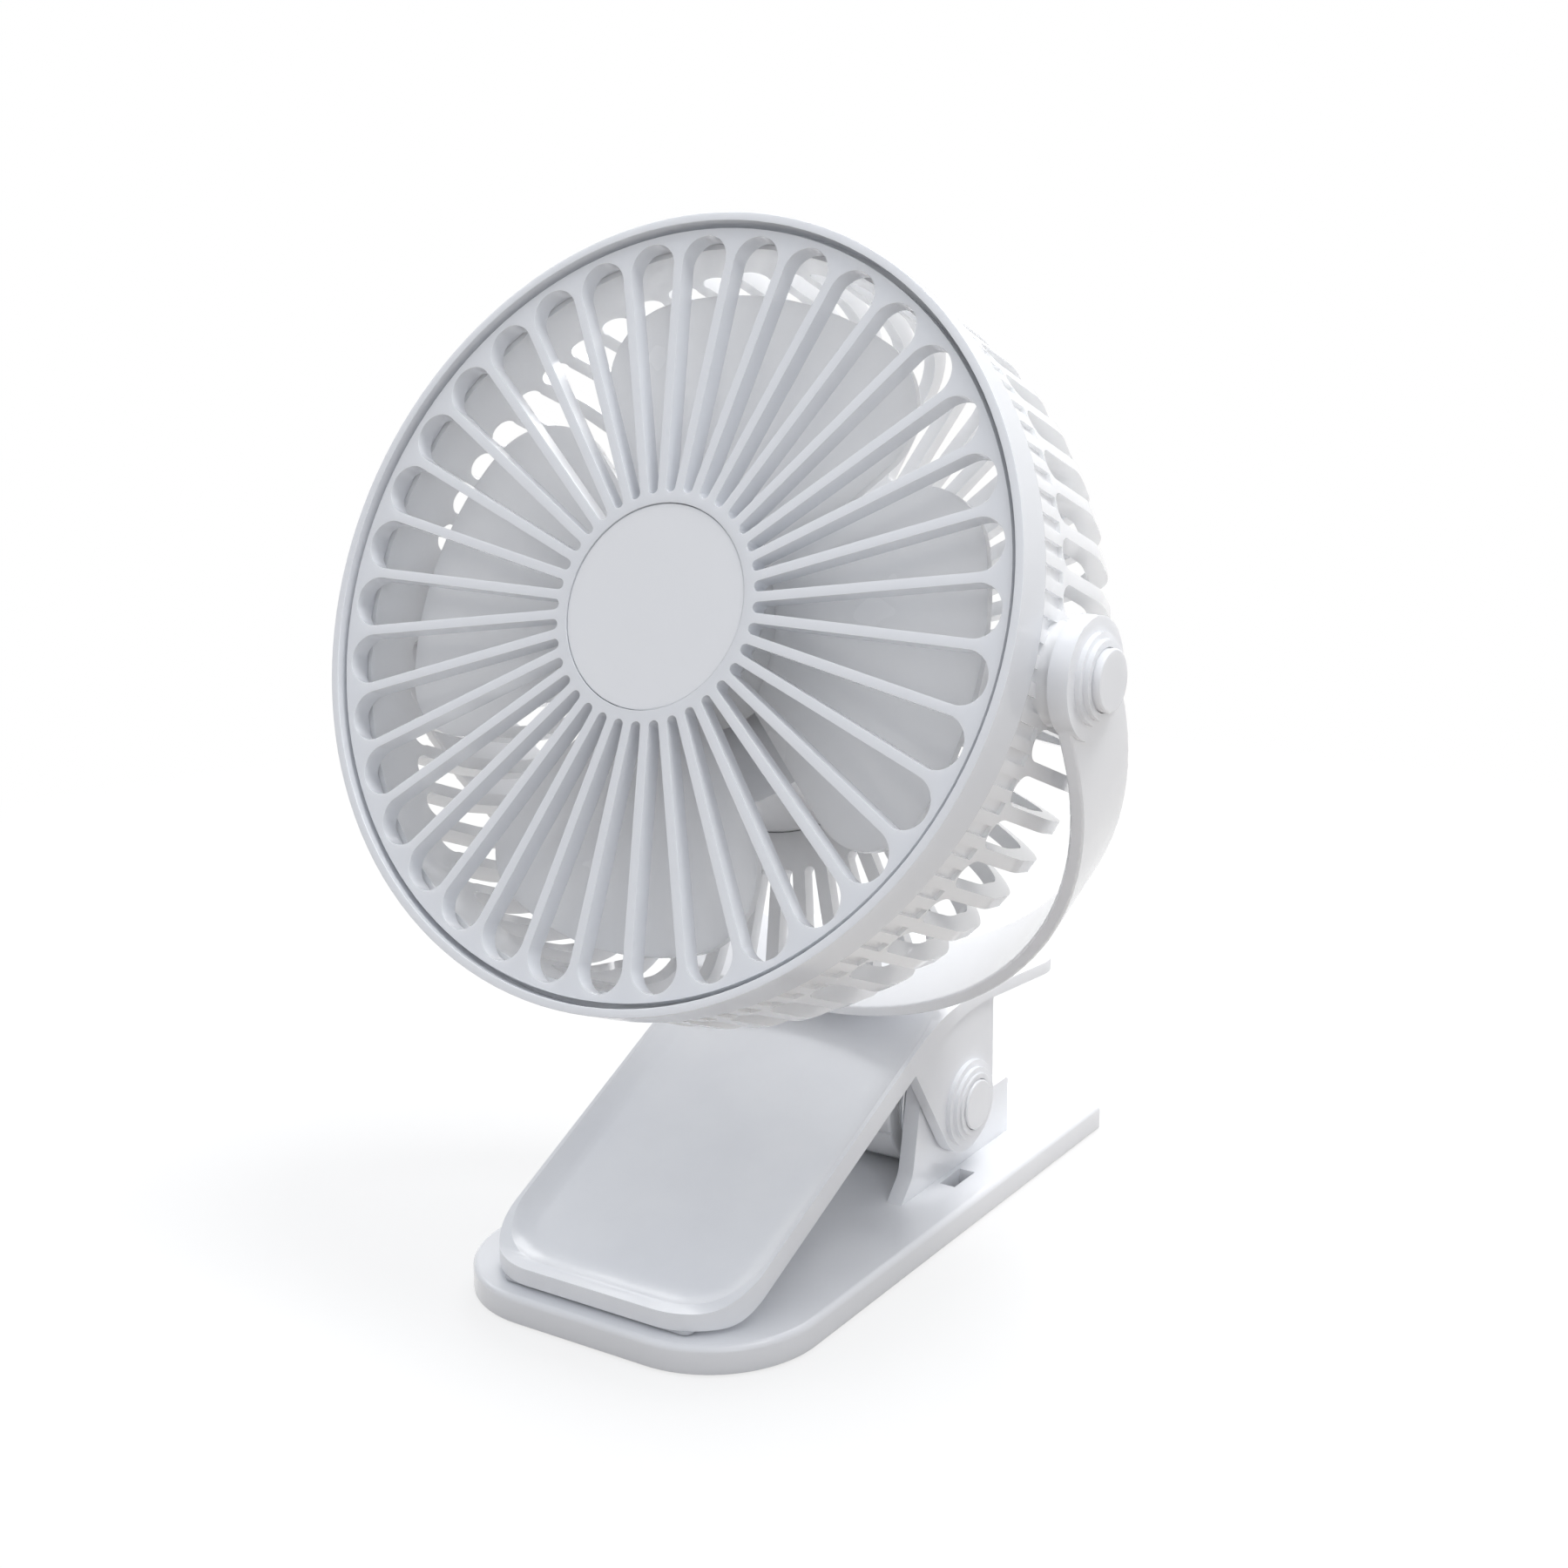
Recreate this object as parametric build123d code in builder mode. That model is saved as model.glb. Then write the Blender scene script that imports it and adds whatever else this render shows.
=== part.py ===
from build123d import *
from math import acos, atan2, cos, degrees, hypot, radians, sin, tan
import os

# Clip fan: a flat base plate and a sprung clip arm form the jaws, a hooped yoke swivels
# on the arm, and the round fan head tilts in the yoke.
# Millimetres. The front faces -Y, +X is to the viewer's right and +Z is up.
# The origin is the centre of the base's underside.

# ---------------------------------------------------------------- base plate
BASE_WIDTH = 75.4
BASE_LENGTH = 142.6
BASE_TOP = 5.9
BASE_FRONT_RADIUS = 22.4
BASE_REAR_RADIUS = 2.2
BASE_EDGE = 1.2
PAD_STAND = 0.5
PAD_THICKNESS = 1.5
PAD_INSET = 1.8
RELIEF_LENGTH = 8.6
RELIEF_WIDTH = 3.6

# ---------------------------------------------------------------- clip hinge
HINGE_REACH = 94.4
HINGE_Z = 21.4
HINGE_PIN_RADIUS = 3.0
EAR_OUTER = 26.5
EAR_THICKNESS = 3.5
EAR_REAR_REACH = 13.7
EAR_FRONT_REACH = 17.6
EAR_TOP_RISE = 12.0
EAR_TOE = 4.6
STOP_DEPTH = 9.6
STOP_TOP = 18.5

# ---------------------------------------------------------------- spring and its drum
WIRE_RADIUS = 0.8
DRUM_LENGTH = 38.4
SPOOL_RADIUS = 11.4
SEAM_SIZE = 0.6
SEAM_ANGLE = 197.0
SPRING_FOOT_REACH = 17.4
SPRING_TIP_REACH = 24.0
SPRING_HOOK = 4.0
SPRING_BEND = 1.8

# ---------------------------------------------------------------- clip arm
LEAN = 25.0
ARM_RISE = 26.65
ARM_THICKNESS = 4.6
ARM_FRONT_HALF = 29.4
ARM_REAR_HALF = 30.9
ARM_FRONT_RADIUS = 15.0
ARM_REAR_RADIUS = 14.0
ARM_EDGE = 0.5
LIP_SETBACK = 3.2
LIP_TOP = 10.3
LIP_BEND = 12.0
RIDGE_BEND = 54.0
SCOOP_RIM = 0.9
SCOOP_DEPTH = 2.3
SCOOP_SWEEP = 8.0
SCOOP_LIP_DEPTH = 0.8
LEVER_DROP = 4.6
LEVER_RISE = 24.0
LEVER_THICKNESS = 2.7
LEVER_SETBACK = 2.9
CHEEK_OUTER = 29.5
CHEEK_THICKNESS = 2.5
CHEEK_RADIUS = 10.7
CHEEK_FRONT_REACH = 22.3
JAW_PAD_THICKNESS = 0.7
JAW_PAD_LENGTH = 7.0
JAW_PAD_WIDTH = 44.0

# ---------------------------------------------------------------- hinge rings and caps
RING_RADII = (9.2, 7.8, 6.6)
RING_HEIGHTS = (1.0, 0.8, 0.5)
CAP_EDGE = 0.35
HINGE_CAP_RADIUS = 5.3
HINGE_CAP_STAND = 0.5

# ---------------------------------------------------------------- yoke
SWIVEL_FORWARD = 10.287
SWIVEL_Z = 46.939
YOKE_CLEARANCE = 4.5
YOKE_LEG = 9.5
YOKE_WIDTH = 20.0
YOKE_THICKNESS = 2.7
YOKE_EDGE = 0.5
YOKE_EAR_RADIUS = 11.0
YOKE_EAR_THICKNESS = 3.8
YOKE_RING_RADII = (8.2, 7.1)
YOKE_RING_HEIGHTS = (1.0, 1.0)
TILT_CAP_RADIUS = 5.6
TILT_CAP_THICKNESS = 2.2
TILT_PIN_RADIUS = 2.5
TILT_PIN_LENGTH = 8.8
TILT_HEAD_RADIUS = 4.4
TILT_HEAD_THICKNESS = 1.2
SEAT_RADIUS = 7.6
SEAT_STAND = 0.5
WASHER_RADIUS = 7.0
WASHER_THICKNESS = 0.6
SWIVEL_SCREW_RADIUS = 1.9
SWIVEL_HEAD_RADIUS = 4.0
SWIVEL_HEAD_THICKNESS = 1.6
SWIVEL_SCREW_LENGTH = 8.6

# ---------------------------------------------------------------- fan head, shells
PITCH = 23.2
HEAD_RADIUS = 75.0
HEAD_FRONT = 21.2
BEZEL_WALL = 1.6
BEZEL_DEPTH = 9.2
BEZEL_EDGE = 0.6
BEZEL_LEDGE_WIDTH = 2.2
BEZEL_LEDGE_THICKNESS = 1.1
GRILLE_RECESS = 1.25
GRILLE_THICKNESS = 3.9
GRILLE_GAP = 1.1
GRILLE_SLOTS = 36
GRILLE_RIB = 1.85
GRILLE_RIM = 1.3
SLOT_INNER = 21.5
HUB_DISC_RADIUS = 19.35
HUB_DISC_THICKNESS = 1.3
HUB_DISC_SUNK = 0.15
CAGE_INSET = 1.0
CAGE_WALL = 3.0
CAGE_STRAIGHT = 14.0
CAGE_BEND = 20.0
CAGE_TAPER = 5.0
CAGE_BACK = 31.8
CAGE_CORNER = 11.0
CAGE_SLOTS = 54
CAGE_RIB = 2.7
CAGE_SLOT_FRONT = 2.9
CAGE_SLOT_INNER = 41.5
NOTCHES = 100
NOTCH_WIDTH = 2.3
NOTCH_DEPTH = 0.8
NOTCH_LENGTH = 8.7
SIDE_BOSS_RADIUS = 9.4

# ---------------------------------------------------------------- housing, cover and button
HOUSING_RADIUS = 34.0
HOUSING_FRONT = -4.0
HOUSING_WALL = 2.0
FLANGE_RADIUS = 39.5
FLANGE_THICKNESS = 1.8
COVER_THICKNESS = 2.0
COVER_EDGE = 0.8
BUTTON_RADIUS = 5.6
BUTTON_STAND = 1.2
BUTTON_TRAVEL = 0.6
BUTTON_COLLAR = 1.2
BUTTON_STEM_RADIUS = 2.0
SCREW_COUNT = 3
SCREW_CIRCLE = 36.9
SCREW_RADIUS = 1.2
SCREW_HEAD_RADIUS = 2.2
SCREW_HEAD_THICKNESS = 1.1
SCREW_LENGTH = 4.6

# ---------------------------------------------------------------- electrics
BATTERY_LENGTH = 50.0
BATTERY_WIDTH = 34.0
BATTERY_THICKNESS = 9.0
FOAM_LENGTH = 40.0
FOAM_WIDTH = 24.0
FOAM_THICKNESS = 1.0
BOARD_LENGTH = 38.0
BOARD_WIDTH = 26.0
BOARD_THICKNESS = 1.2
BOARD_DROP = 6.5
BOARD_STANDOFF = 8.4
POST_RADIUS = 1.8
POST_INSET = 2.6
SWITCH_SIDE = 6.0
SWITCH_HEIGHT = 3.4
SWITCH_STEM_RADIUS = 1.7
PORT_WIDTH = 9.0
PORT_HEIGHT = 3.3
PORT_WALL = 0.5
PORT_DROP = 16.0

# ---------------------------------------------------------------- impeller and motor
BLADE_COUNT = 4
BLADE_CLEARANCE = 12.0
BLADE_SPAN = 78.0
BLADE_RISE = 8.4
BLADE_BACK = 1.0
BLADE_THICKNESS = 1.7
BLADE_CORNER = 14.0
BLADE_CAMBER = 2.0
BLADE_PHASE = -5.0
HUB_RADIUS = 20.0
HUB_WALL = 1.8
HUB_FRONT = 13.2
HUB_DEPTH = 13.6
HUB_EDGE = 1.5
ROTOR_WALL = 1.0
ROTOR_LENGTH = 9.6
SHAFT_BOSS_RADIUS = 3.6
SHAFT_BOSS_LENGTH = 3.0
MAGNET_THICKNESS = 2.0
MAGNET_LENGTH = 7.6
AIR_GAP = 0.5
STATOR_POLES = 9
STATOR_LENGTH = 5.0
STATOR_RING = 2.2
POLE_WIDTH = 2.0
POLE_TIP = 1.2
POLE_OPENING = 2.4
COIL_THICKNESS = 1.2
TUBE_WALL = 1.4
SHAFT_RADIUS = 1.5
BEARING_RADIUS = 4.0
BEARING_LENGTH = 3.0

# ---------------------------------------------------------------- clearances
PIN_FIT = 0.05
SIDE_GAP = 0.3
FACE_GAP = 0.1
MOULD_FIT = 0.15

# ---------------------------------------------------------------- places worked out from the sizes
HINGE_Y = HINGE_REACH - BASE_LENGTH / 2
EAR_INNER = EAR_OUTER - EAR_THICKNESS
CHEEK_INNER = CHEEK_OUTER - CHEEK_THICKNESS
DRUM_RADIUS = HINGE_Z - BASE_TOP - 2 * SIDE_GAP
COIL_RADIUS = SPOOL_RADIUS + WIRE_RADIUS + MOULD_FIT
RING_FACE = CHEEK_OUTER + sum(RING_HEIGHTS)
LIP_Y = -BASE_LENGTH / 2 + LIP_SETBACK
LIP_BOTTOM = BASE_TOP + SIDE_GAP + JAW_PAD_THICKNESS
LEVER_Y = BASE_LENGTH / 2 - LEVER_SETBACK
ARM_UNDER = ARM_RISE - ARM_THICKNESS
LEVER_UNDER = LEVER_RISE - LEVER_THICKNESS
YOKE_RADIUS = HEAD_RADIUS + YOKE_CLEARANCE
YOKE_INNER = YOKE_RADIUS - YOKE_THICKNESS
YOKE_DROP = YOKE_LEG + YOKE_RADIUS
TILT_Y = HINGE_Y - SWIVEL_FORWARD - YOKE_DROP * sin(radians(LEAN))
TILT_Z = SWIVEL_Z + YOKE_DROP * cos(radians(LEAN))
YOKE_FACE = YOKE_INNER + YOKE_EAR_THICKNESS
YOKE_RING_FACE = YOKE_FACE + sum(YOKE_RING_HEIGHTS)
SEAT_DROP = YOKE_DROP + SEAT_STAND
BOSS_DROP = SEAT_DROP + FACE_GAP + WASHER_THICKNESS
SCREW_SEAT_DROP = YOKE_DROP - YOKE_THICKNESS - FACE_GAP
BEZEL_BACK = HEAD_FRONT - BEZEL_DEPTH
BEZEL_INNER = HEAD_RADIUS - BEZEL_WALL
GRILLE_FRONT = HEAD_FRONT - GRILLE_RECESS
GRILLE_BACK = GRILLE_FRONT - GRILLE_THICKNESS
GRILLE_RADIUS = BEZEL_INNER - GRILLE_GAP
SLOT_OUTER = GRILLE_RADIUS - GRILLE_RIM
LEDGE_BACK = GRILLE_BACK - BEZEL_LEDGE_THICKNESS
CAGE_RADIUS = HEAD_RADIUS - CAGE_INSET
CAGE_TOP = LEDGE_BACK - FACE_GAP
CAGE_SHOULDER = BEZEL_BACK - FACE_GAP
NOTCH_END = CAGE_SHOULDER - NOTCH_LENGTH
COVER_INNER = -CAGE_BACK - FLANGE_THICKNESS
COVER_OUTER = COVER_INNER - COVER_THICKNESS
BOARD_BACK = COVER_INNER + BOARD_STANDOFF
CAVITY_FRONT = HOUSING_FRONT - HOUSING_WALL
FOAM_BACK = CAVITY_FRONT - FOAM_THICKNESS
BLADE_TIP = HEAD_RADIUS - BLADE_CLEARANCE
ROTOR_RADIUS = HUB_RADIUS - HUB_WALL
ROTOR_FRONT = HUB_FRONT - HUB_WALL
MAGNET_RADIUS = ROTOR_RADIUS - ROTOR_WALL
MAGNET_INNER = MAGNET_RADIUS - MAGNET_THICKNESS
MAGNET_FRONT = ROTOR_FRONT - ROTOR_WALL
MAGNET_BACK = MAGNET_FRONT - MAGNET_LENGTH
STATOR_RADIUS = MAGNET_INNER - AIR_GAP
STATOR_BACK = MAGNET_BACK + (MAGNET_LENGTH - STATOR_LENGTH) / 2
SHAFT_BOSS_BACK = MAGNET_FRONT - SHAFT_BOSS_LENGTH
TUBE_RADIUS = BEARING_RADIUS + TUBE_WALL
TUBE_FRONT = SHAFT_BOSS_BACK - SIDE_GAP

# The yoke's plane holds the tilt axis and leans back from it to the clip arm's ridge.
YOKE = Plane(
    origin=(0, TILT_Y, TILT_Z),
    x_dir=(1, 0, 0),
    z_dir=(0, -cos(radians(LEAN)), -sin(radians(LEAN))),
)
# The swivel plane looks up the yoke's height, from the tilt axis.
SWIVEL = Plane(origin=YOKE.origin, x_dir=(1, 0, 0), z_dir=YOKE.y_dir)
# The head's plane looks out along the fan's axis, and the profile plane beside it reads
# (radius, height along the fan's axis).
HEAD = Plane(
    origin=(0, TILT_Y, TILT_Z),
    x_dir=(1, 0, 0),
    z_dir=(0, -cos(radians(PITCH)), sin(radians(PITCH))),
)
PROFILE = Plane(origin=HEAD.origin, x_dir=HEAD.x_dir, z_dir=-HEAD.y_dir)
FAN_AXIS = Axis(HEAD.origin, HEAD.z_dir)
HINGE_AXIS = Axis((0, HINGE_Y, HINGE_Z), (1, 0, 0))


def across(x, y=0, z=0):
    """Plane at x that faces +X, with its own origin at (y, z)."""
    return Plane(origin=(x, y, z), x_dir=(0, 1, 0), z_dir=(1, 0, 0))


def disc(plane, radius):
    """Round face on a plane."""
    with BuildSketch(plane) as face:
        Circle(radius)
    return face.sketch


def side_bars(inner, outer, y, z, radius, mode=Mode.ADD):
    """Cylinders along X between two distances, on both sides of the centre plane."""
    for side in (-1, 1):
        extrude(disc(across(side * inner, y, z), radius), amount=side * (outer - inner), mode=mode)


def side_rings(start, radii, heights, y, z):
    """Stack of flat rings that stands out from both side faces."""
    for radius, height in zip(radii, heights):
        side_bars(start, start + height, y, z, radius)
        start += height


def ring(inner, outer, back, front):
    """Plain tube about the fan's axis, between two heights."""
    with BuildPart() as tube:
        with BuildSketch(HEAD.offset(back)):
            Circle(outer)
            Circle(inner, mode=Mode.SUBTRACT)
        extrude(amount=front - back)
    return tube


def rod(radius, back, front):
    """Plain cylinder about the fan's axis, between two heights."""
    with BuildPart() as cylinder:
        extrude(disc(HEAD.offset(back), radius), amount=front - back)
    return cylinder


def slot_face(pitch, rib, inner, outer):
    """Tapered slot along the X axis that leaves ribs of one width beside it."""
    rise = sin(radians(pitch / 2))
    near = (inner - rib / 2) / (1 - rise)
    far = (outer + rib / 2) / (1 + rise)
    with BuildSketch() as slot:
        with Locations((near, 0)):
            Circle(near * rise - rib / 2)
        with Locations((far, 0)):
            Circle(far * rise - rib / 2)
        make_hull()
    return slot.sketch


# ================================================================ base body
def base_outline(height, inset):
    """The base's outline at a height, drawn in by inset."""
    with BuildSketch(Plane.XY.offset(height)) as outline:
        Rectangle(BASE_WIDTH - 2 * inset, BASE_LENGTH - 2 * inset)
        fillet(outline.vertices().group_by(Axis.Y)[0], BASE_FRONT_RADIUS - inset)
        fillet(outline.vertices().group_by(Axis.Y)[-1], BASE_REAR_RADIUS - inset)
    return outline.sketch


def ear_outline(x):
    """Hinge ear with a flared toe in front and a square back."""
    foot = BASE_TOP - BASE_EDGE
    top = HINGE_Z + EAR_TOP_RISE
    with BuildSketch(across(x, HINGE_Y)) as ear:
        with BuildLine():
            outline = FilletPolyline(
                (-EAR_FRONT_REACH - EAR_TOE, foot),
                (-EAR_FRONT_REACH - EAR_TOE, BASE_TOP),
                (-EAR_FRONT_REACH, BASE_TOP + EAR_TOE),
                (-EAR_FRONT_REACH + EAR_TOE, top),
                (EAR_REAR_REACH - EAR_TOE, top),
                (EAR_REAR_REACH, top - 2 * EAR_TOE),
                (EAR_REAR_REACH, foot),
                radius=(0, 5.0, 2.0, 3.0, 3.0),
            )
            Line(outline @ 1, outline @ 0)
        make_face()
    return ear.sketch


def make_base_plate():
    """Flat lower jaw with the hinge ears, the stop block and the pad's recess."""
    stop_front = HINGE_Y + EAR_REAR_REACH
    stop_bottom = BASE_TOP - BASE_EDGE
    relief_x = EAR_OUTER + BASE_EDGE + RELIEF_WIDTH / 2
    half_drum = DRUM_LENGTH / 2 + SIDE_GAP
    coil_room = COIL_RADIUS + WIRE_RADIUS + MOULD_FIT
    with BuildPart() as plate:
        extrude(base_outline(PAD_STAND, 0), amount=BASE_TOP - PAD_STAND)
        fillet(plate.faces().sort_by(Axis.Z)[-1].edges(), BASE_EDGE)
        for side in (-1, 1):
            extrude(ear_outline(side * EAR_INNER), amount=side * EAR_THICKNESS)
        # The block behind the hinge ties the ears together and carries the spring's feet.
        with BuildSketch(across(-EAR_OUTER, stop_front, stop_bottom)) as stop:
            Rectangle(STOP_DEPTH, STOP_TOP - stop_bottom, align=(Align.MIN, Align.MIN))
            fillet(stop.vertices().group_by(Axis.Y)[-1], BASE_EDGE)
        extrude(amount=2 * EAR_OUTER)
        # Relief slots beside the ears, which the pad closes from below.
        with BuildSketch(Plane.XY):
            with Locations((0, HINGE_Y - RELIEF_LENGTH / 2)):
                with GridLocations(2 * relief_x, 1, 2, 1):
                    Rectangle(RELIEF_WIDTH, RELIEF_LENGTH)
        extrude(amount=BASE_TOP, mode=Mode.SUBTRACT)
        recess = base_outline(0, PAD_INSET - MOULD_FIT)
        extrude(recess, amount=PAD_THICKNESS, mode=Mode.SUBTRACT)
        # Cradle for the drum, room for the coils and the hinge pin's bore.
        side_bars(0, half_drum, HINGE_Y, HINGE_Z, DRUM_RADIUS + SIDE_GAP, Mode.SUBTRACT)
        side_bars(half_drum, EAR_INNER, HINGE_Y, HINGE_Z, coil_room, Mode.SUBTRACT)
        side_bars(EAR_INNER, EAR_OUTER, HINGE_Y, HINGE_Z, HINGE_PIN_RADIUS + PIN_FIT, Mode.SUBTRACT)
    return plate


def make_base_pad():
    """Rubber foot pad under the whole base."""
    with BuildPart() as pad:
        extrude(base_outline(0, PAD_INSET), amount=PAD_THICKNESS)
    return pad


def make_hinge_pin():
    """Steel pin through the ears, the drum and the clip arm's cheeks."""
    with BuildPart() as pin:
        extrude(disc(across(0, HINGE_Y, HINGE_Z), HINGE_PIN_RADIUS), amount=CHEEK_OUTER, both=True)
    return pin


def make_spring_drum():
    """Drum on the hinge pin, with a spool at each end for the spring's coils."""
    with BuildPart() as drum:
        extrude(disc(across(0, HINGE_Y, HINGE_Z), DRUM_RADIUS), amount=DRUM_LENGTH / 2, both=True)
        fillet(drum.edges().filter_by(GeomType.CIRCLE), SEAM_SIZE)
        side_bars(DRUM_LENGTH / 2, EAR_INNER - FACE_GAP, HINGE_Y, HINGE_Z, SPOOL_RADIUS)
        side_bars(0, EAR_INNER, HINGE_Y, HINGE_Z, HINGE_PIN_RADIUS + PIN_FIT, Mode.SUBTRACT)
        # Parting groove along the front.
        with BuildSketch(across(0, HINGE_Y, HINGE_Z)):
            with PolarLocations(DRUM_RADIUS, 1, start_angle=SEAM_ANGLE):
                Rectangle(2 * SEAM_SIZE, SEAM_SIZE)
        extrude(amount=DRUM_LENGTH / 2, both=True, mode=Mode.SUBTRACT)
    return drum


def tangent_leg(reach, rise, sense):
    """Angle where a straight leg to (reach, rise) leaves the coil, and the leg's length."""
    distance = hypot(reach, rise)
    angle = degrees(atan2(rise, reach)) + sense * degrees(acos(COIL_RADIUS / distance))
    return angle, (distance**2 - COIL_RADIUS**2) ** 0.5


def make_clip_spring():
    """Torsion spring: a coil on each spool, feet on the stop block, tips under the lever."""
    foot_rise = STOP_TOP - HINGE_Z + WIRE_RADIUS + FACE_GAP
    tip_line = LEVER_UNDER - WIRE_RADIUS - 2 * FACE_GAP
    tip_rise = tip_line / cos(radians(LEVER_DROP)) - SPRING_TIP_REACH * tan(radians(LEVER_DROP))
    start, foot_length = tangent_leg(SPRING_FOOT_REACH, foot_rise, 1)
    finish, tip_length = tangent_leg(SPRING_TIP_REACH, tip_rise, -1)
    turn = (finish + 360 - start) / 360
    inner_x = DRUM_LENGTH / 2 + WIRE_RADIUS + 2 * MOULD_FIT
    outer_x = EAR_INNER - WIRE_RADIUS - 2 * MOULD_FIT
    width = outer_x - inner_x
    with BuildPart() as spring:
        with BuildLine() as wire:
            coil = Helix(width / turn, width, COIL_RADIUS, direction=(1, 0, 0), mode=Mode.PRIVATE)
            coil = coil.rotate(Axis.X, start - 90)
            coil = coil.translate((inner_x, HINGE_Y, HINGE_Z))
            foot = coil @ 0 - (coil % 0) * foot_length
            tip = coil @ 1 + (coil % 1) * tip_length
            FilletPolyline(foot - Vector(SPRING_HOOK, 0, 0), foot, coil @ 0, radius=SPRING_BEND)
            add(coil)
            FilletPolyline(coil @ 1, tip, tip - Vector(SPRING_HOOK, 0, 0), radius=SPRING_BEND)
        with BuildSketch(Plane(origin=wire.wire() @ 0, z_dir=wire.wire() % 0)):
            Circle(WIRE_RADIUS)
        sweep(path=wire.wire())
        mirror(about=Plane.YZ)
    return spring


# ================================================================ clip arm body
def slope_z(y, rise):
    """Height at y of the sloping line that lies rise above the hinge axis."""
    return HINGE_Z + rise / cos(radians(LEAN)) + (y - HINGE_Y) * tan(radians(LEAN))


def lever_z(y, rise):
    """Height at y of the lever's line that lies rise above the hinge axis."""
    return HINGE_Z + rise / cos(radians(LEVER_DROP)) - (y - HINGE_Y) * tan(radians(LEVER_DROP))


def ridge_point(slope_rise, lever_rise):
    """Where the arm's slope meets the lever."""
    gap = lever_z(HINGE_Y, lever_rise) - slope_z(HINGE_Y, slope_rise)
    y = HINGE_Y + gap / (tan(radians(LEAN)) + tan(radians(LEVER_DROP)))
    return (y, slope_z(y, slope_rise))


def lip_point(slope_rise, height):
    """Where the arm's slope runs out into the level lip."""
    return (HINGE_Y + (height - slope_z(HINGE_Y, slope_rise)) / tan(radians(LEAN)), height)


def arm_side():
    """Side view of the clip arm: level lip, slope, rounded ridge and lever."""
    with BuildSketch(across(0)) as side:
        with BuildLine():
            top = FilletPolyline(
                (LIP_Y, LIP_TOP),
                lip_point(ARM_RISE, LIP_TOP),
                ridge_point(ARM_RISE, LEVER_RISE),
                (LEVER_Y, lever_z(LEVER_Y, LEVER_RISE)),
                radius=(LIP_BEND, RIDGE_BEND),
            )
            bottom = FilletPolyline(
                (LIP_Y, LIP_BOTTOM),
                lip_point(ARM_UNDER, LIP_BOTTOM),
                ridge_point(ARM_UNDER, LEVER_UNDER),
                (LEVER_Y, lever_z(LEVER_Y, LEVER_UNDER)),
                radius=(LIP_BEND, RIDGE_BEND - ARM_THICKNESS),
            )
            Line(top @ 0, bottom @ 0)
            Line(top @ 1, bottom @ 1)
        make_face()
    return side.sketch


def arm_plan(grow):
    """Clip arm seen from above, drawn out by grow."""
    with BuildSketch() as plan:
        with BuildLine():
            Polyline(
                (-ARM_FRONT_HALF - grow, LIP_Y - grow),
                (ARM_FRONT_HALF + grow, LIP_Y - grow),
                (ARM_REAR_HALF + grow, LEVER_Y + grow),
                (-ARM_REAR_HALF - grow, LEVER_Y + grow),
                close=True,
            )
        make_face()
        fillet(plan.vertices().group_by(Axis.Y)[0], ARM_FRONT_RADIUS + grow)
        fillet(plan.vertices().group_by(Axis.Y)[-1], ARM_REAR_RADIUS + grow)
    return plan.sketch


def make_scoop():
    """Cutter for the dished top: a flat floor that sweeps up to a thin rim."""
    floor_rise = ARM_RISE - SCOOP_DEPTH
    lip_height = LIP_TOP - SCOOP_LIP_DEPTH
    front = (LIP_Y - 2 * SCOOP_SWEEP, lip_height)
    rear = (LEVER_Y, slope_z(LEVER_Y, floor_rise))
    crown = rear[1] + HINGE_Z
    run = (SCOOP_SWEEP**2 - (SCOOP_SWEEP - SCOOP_DEPTH) ** 2) ** 0.5
    with BuildPart() as scoop:
        with BuildSketch(across(0)):
            with BuildLine():
                lip = lip_point(floor_rise, lip_height)
                FilletPolyline(front, lip, rear, radius=LIP_BEND + SCOOP_DEPTH)
                Polyline(rear, (rear[0], crown), (front[0], crown), front)
            make_face()
        extrude(amount=BASE_WIDTH / 2, both=True)
        plan = arm_plan(SCOOP_SWEEP - run - SCOOP_RIM)
        extrude(plan, amount=2 * crown, mode=Mode.INTERSECT)
        floor = scoop.faces().filter_by(lambda face: face.normal_at().Z < -0.1)
        walls = scoop.faces().filter_by(lambda face: abs(face.normal_at().Z) < 0.01)
        rim = floor.edges() & walls.edges()
        fillet(rim.filter_by(lambda edge: edge.center().Y < LEVER_Y), SCOOP_SWEEP)
    return scoop


def cheek_outline(x):
    """Clip arm's cheek: a round boss about the hinge that widens up to the arm."""
    crest = ridge_point(ARM_RISE - ARM_THICKNESS / 2, LEVER_RISE - LEVER_THICKNESS / 2)
    front_z = slope_z(HINGE_Y - CHEEK_FRONT_REACH, ARM_UNDER + ARM_EDGE)
    back_z = lever_z(HINGE_Y + CHEEK_RADIUS, LEVER_UNDER + ARM_EDGE)
    with BuildSketch(across(x, HINGE_Y, HINGE_Z)) as cheek:
        Circle(CHEEK_RADIUS)
        with BuildLine():
            Polyline(
                (-CHEEK_FRONT_REACH, front_z - HINGE_Z),
                (crest[0] - HINGE_Y, crest[1] - HINGE_Z - ARM_THICKNESS / 2),
                (CHEEK_RADIUS, back_z - HINGE_Z),
            )
        make_hull()
    return cheek.sketch


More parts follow.
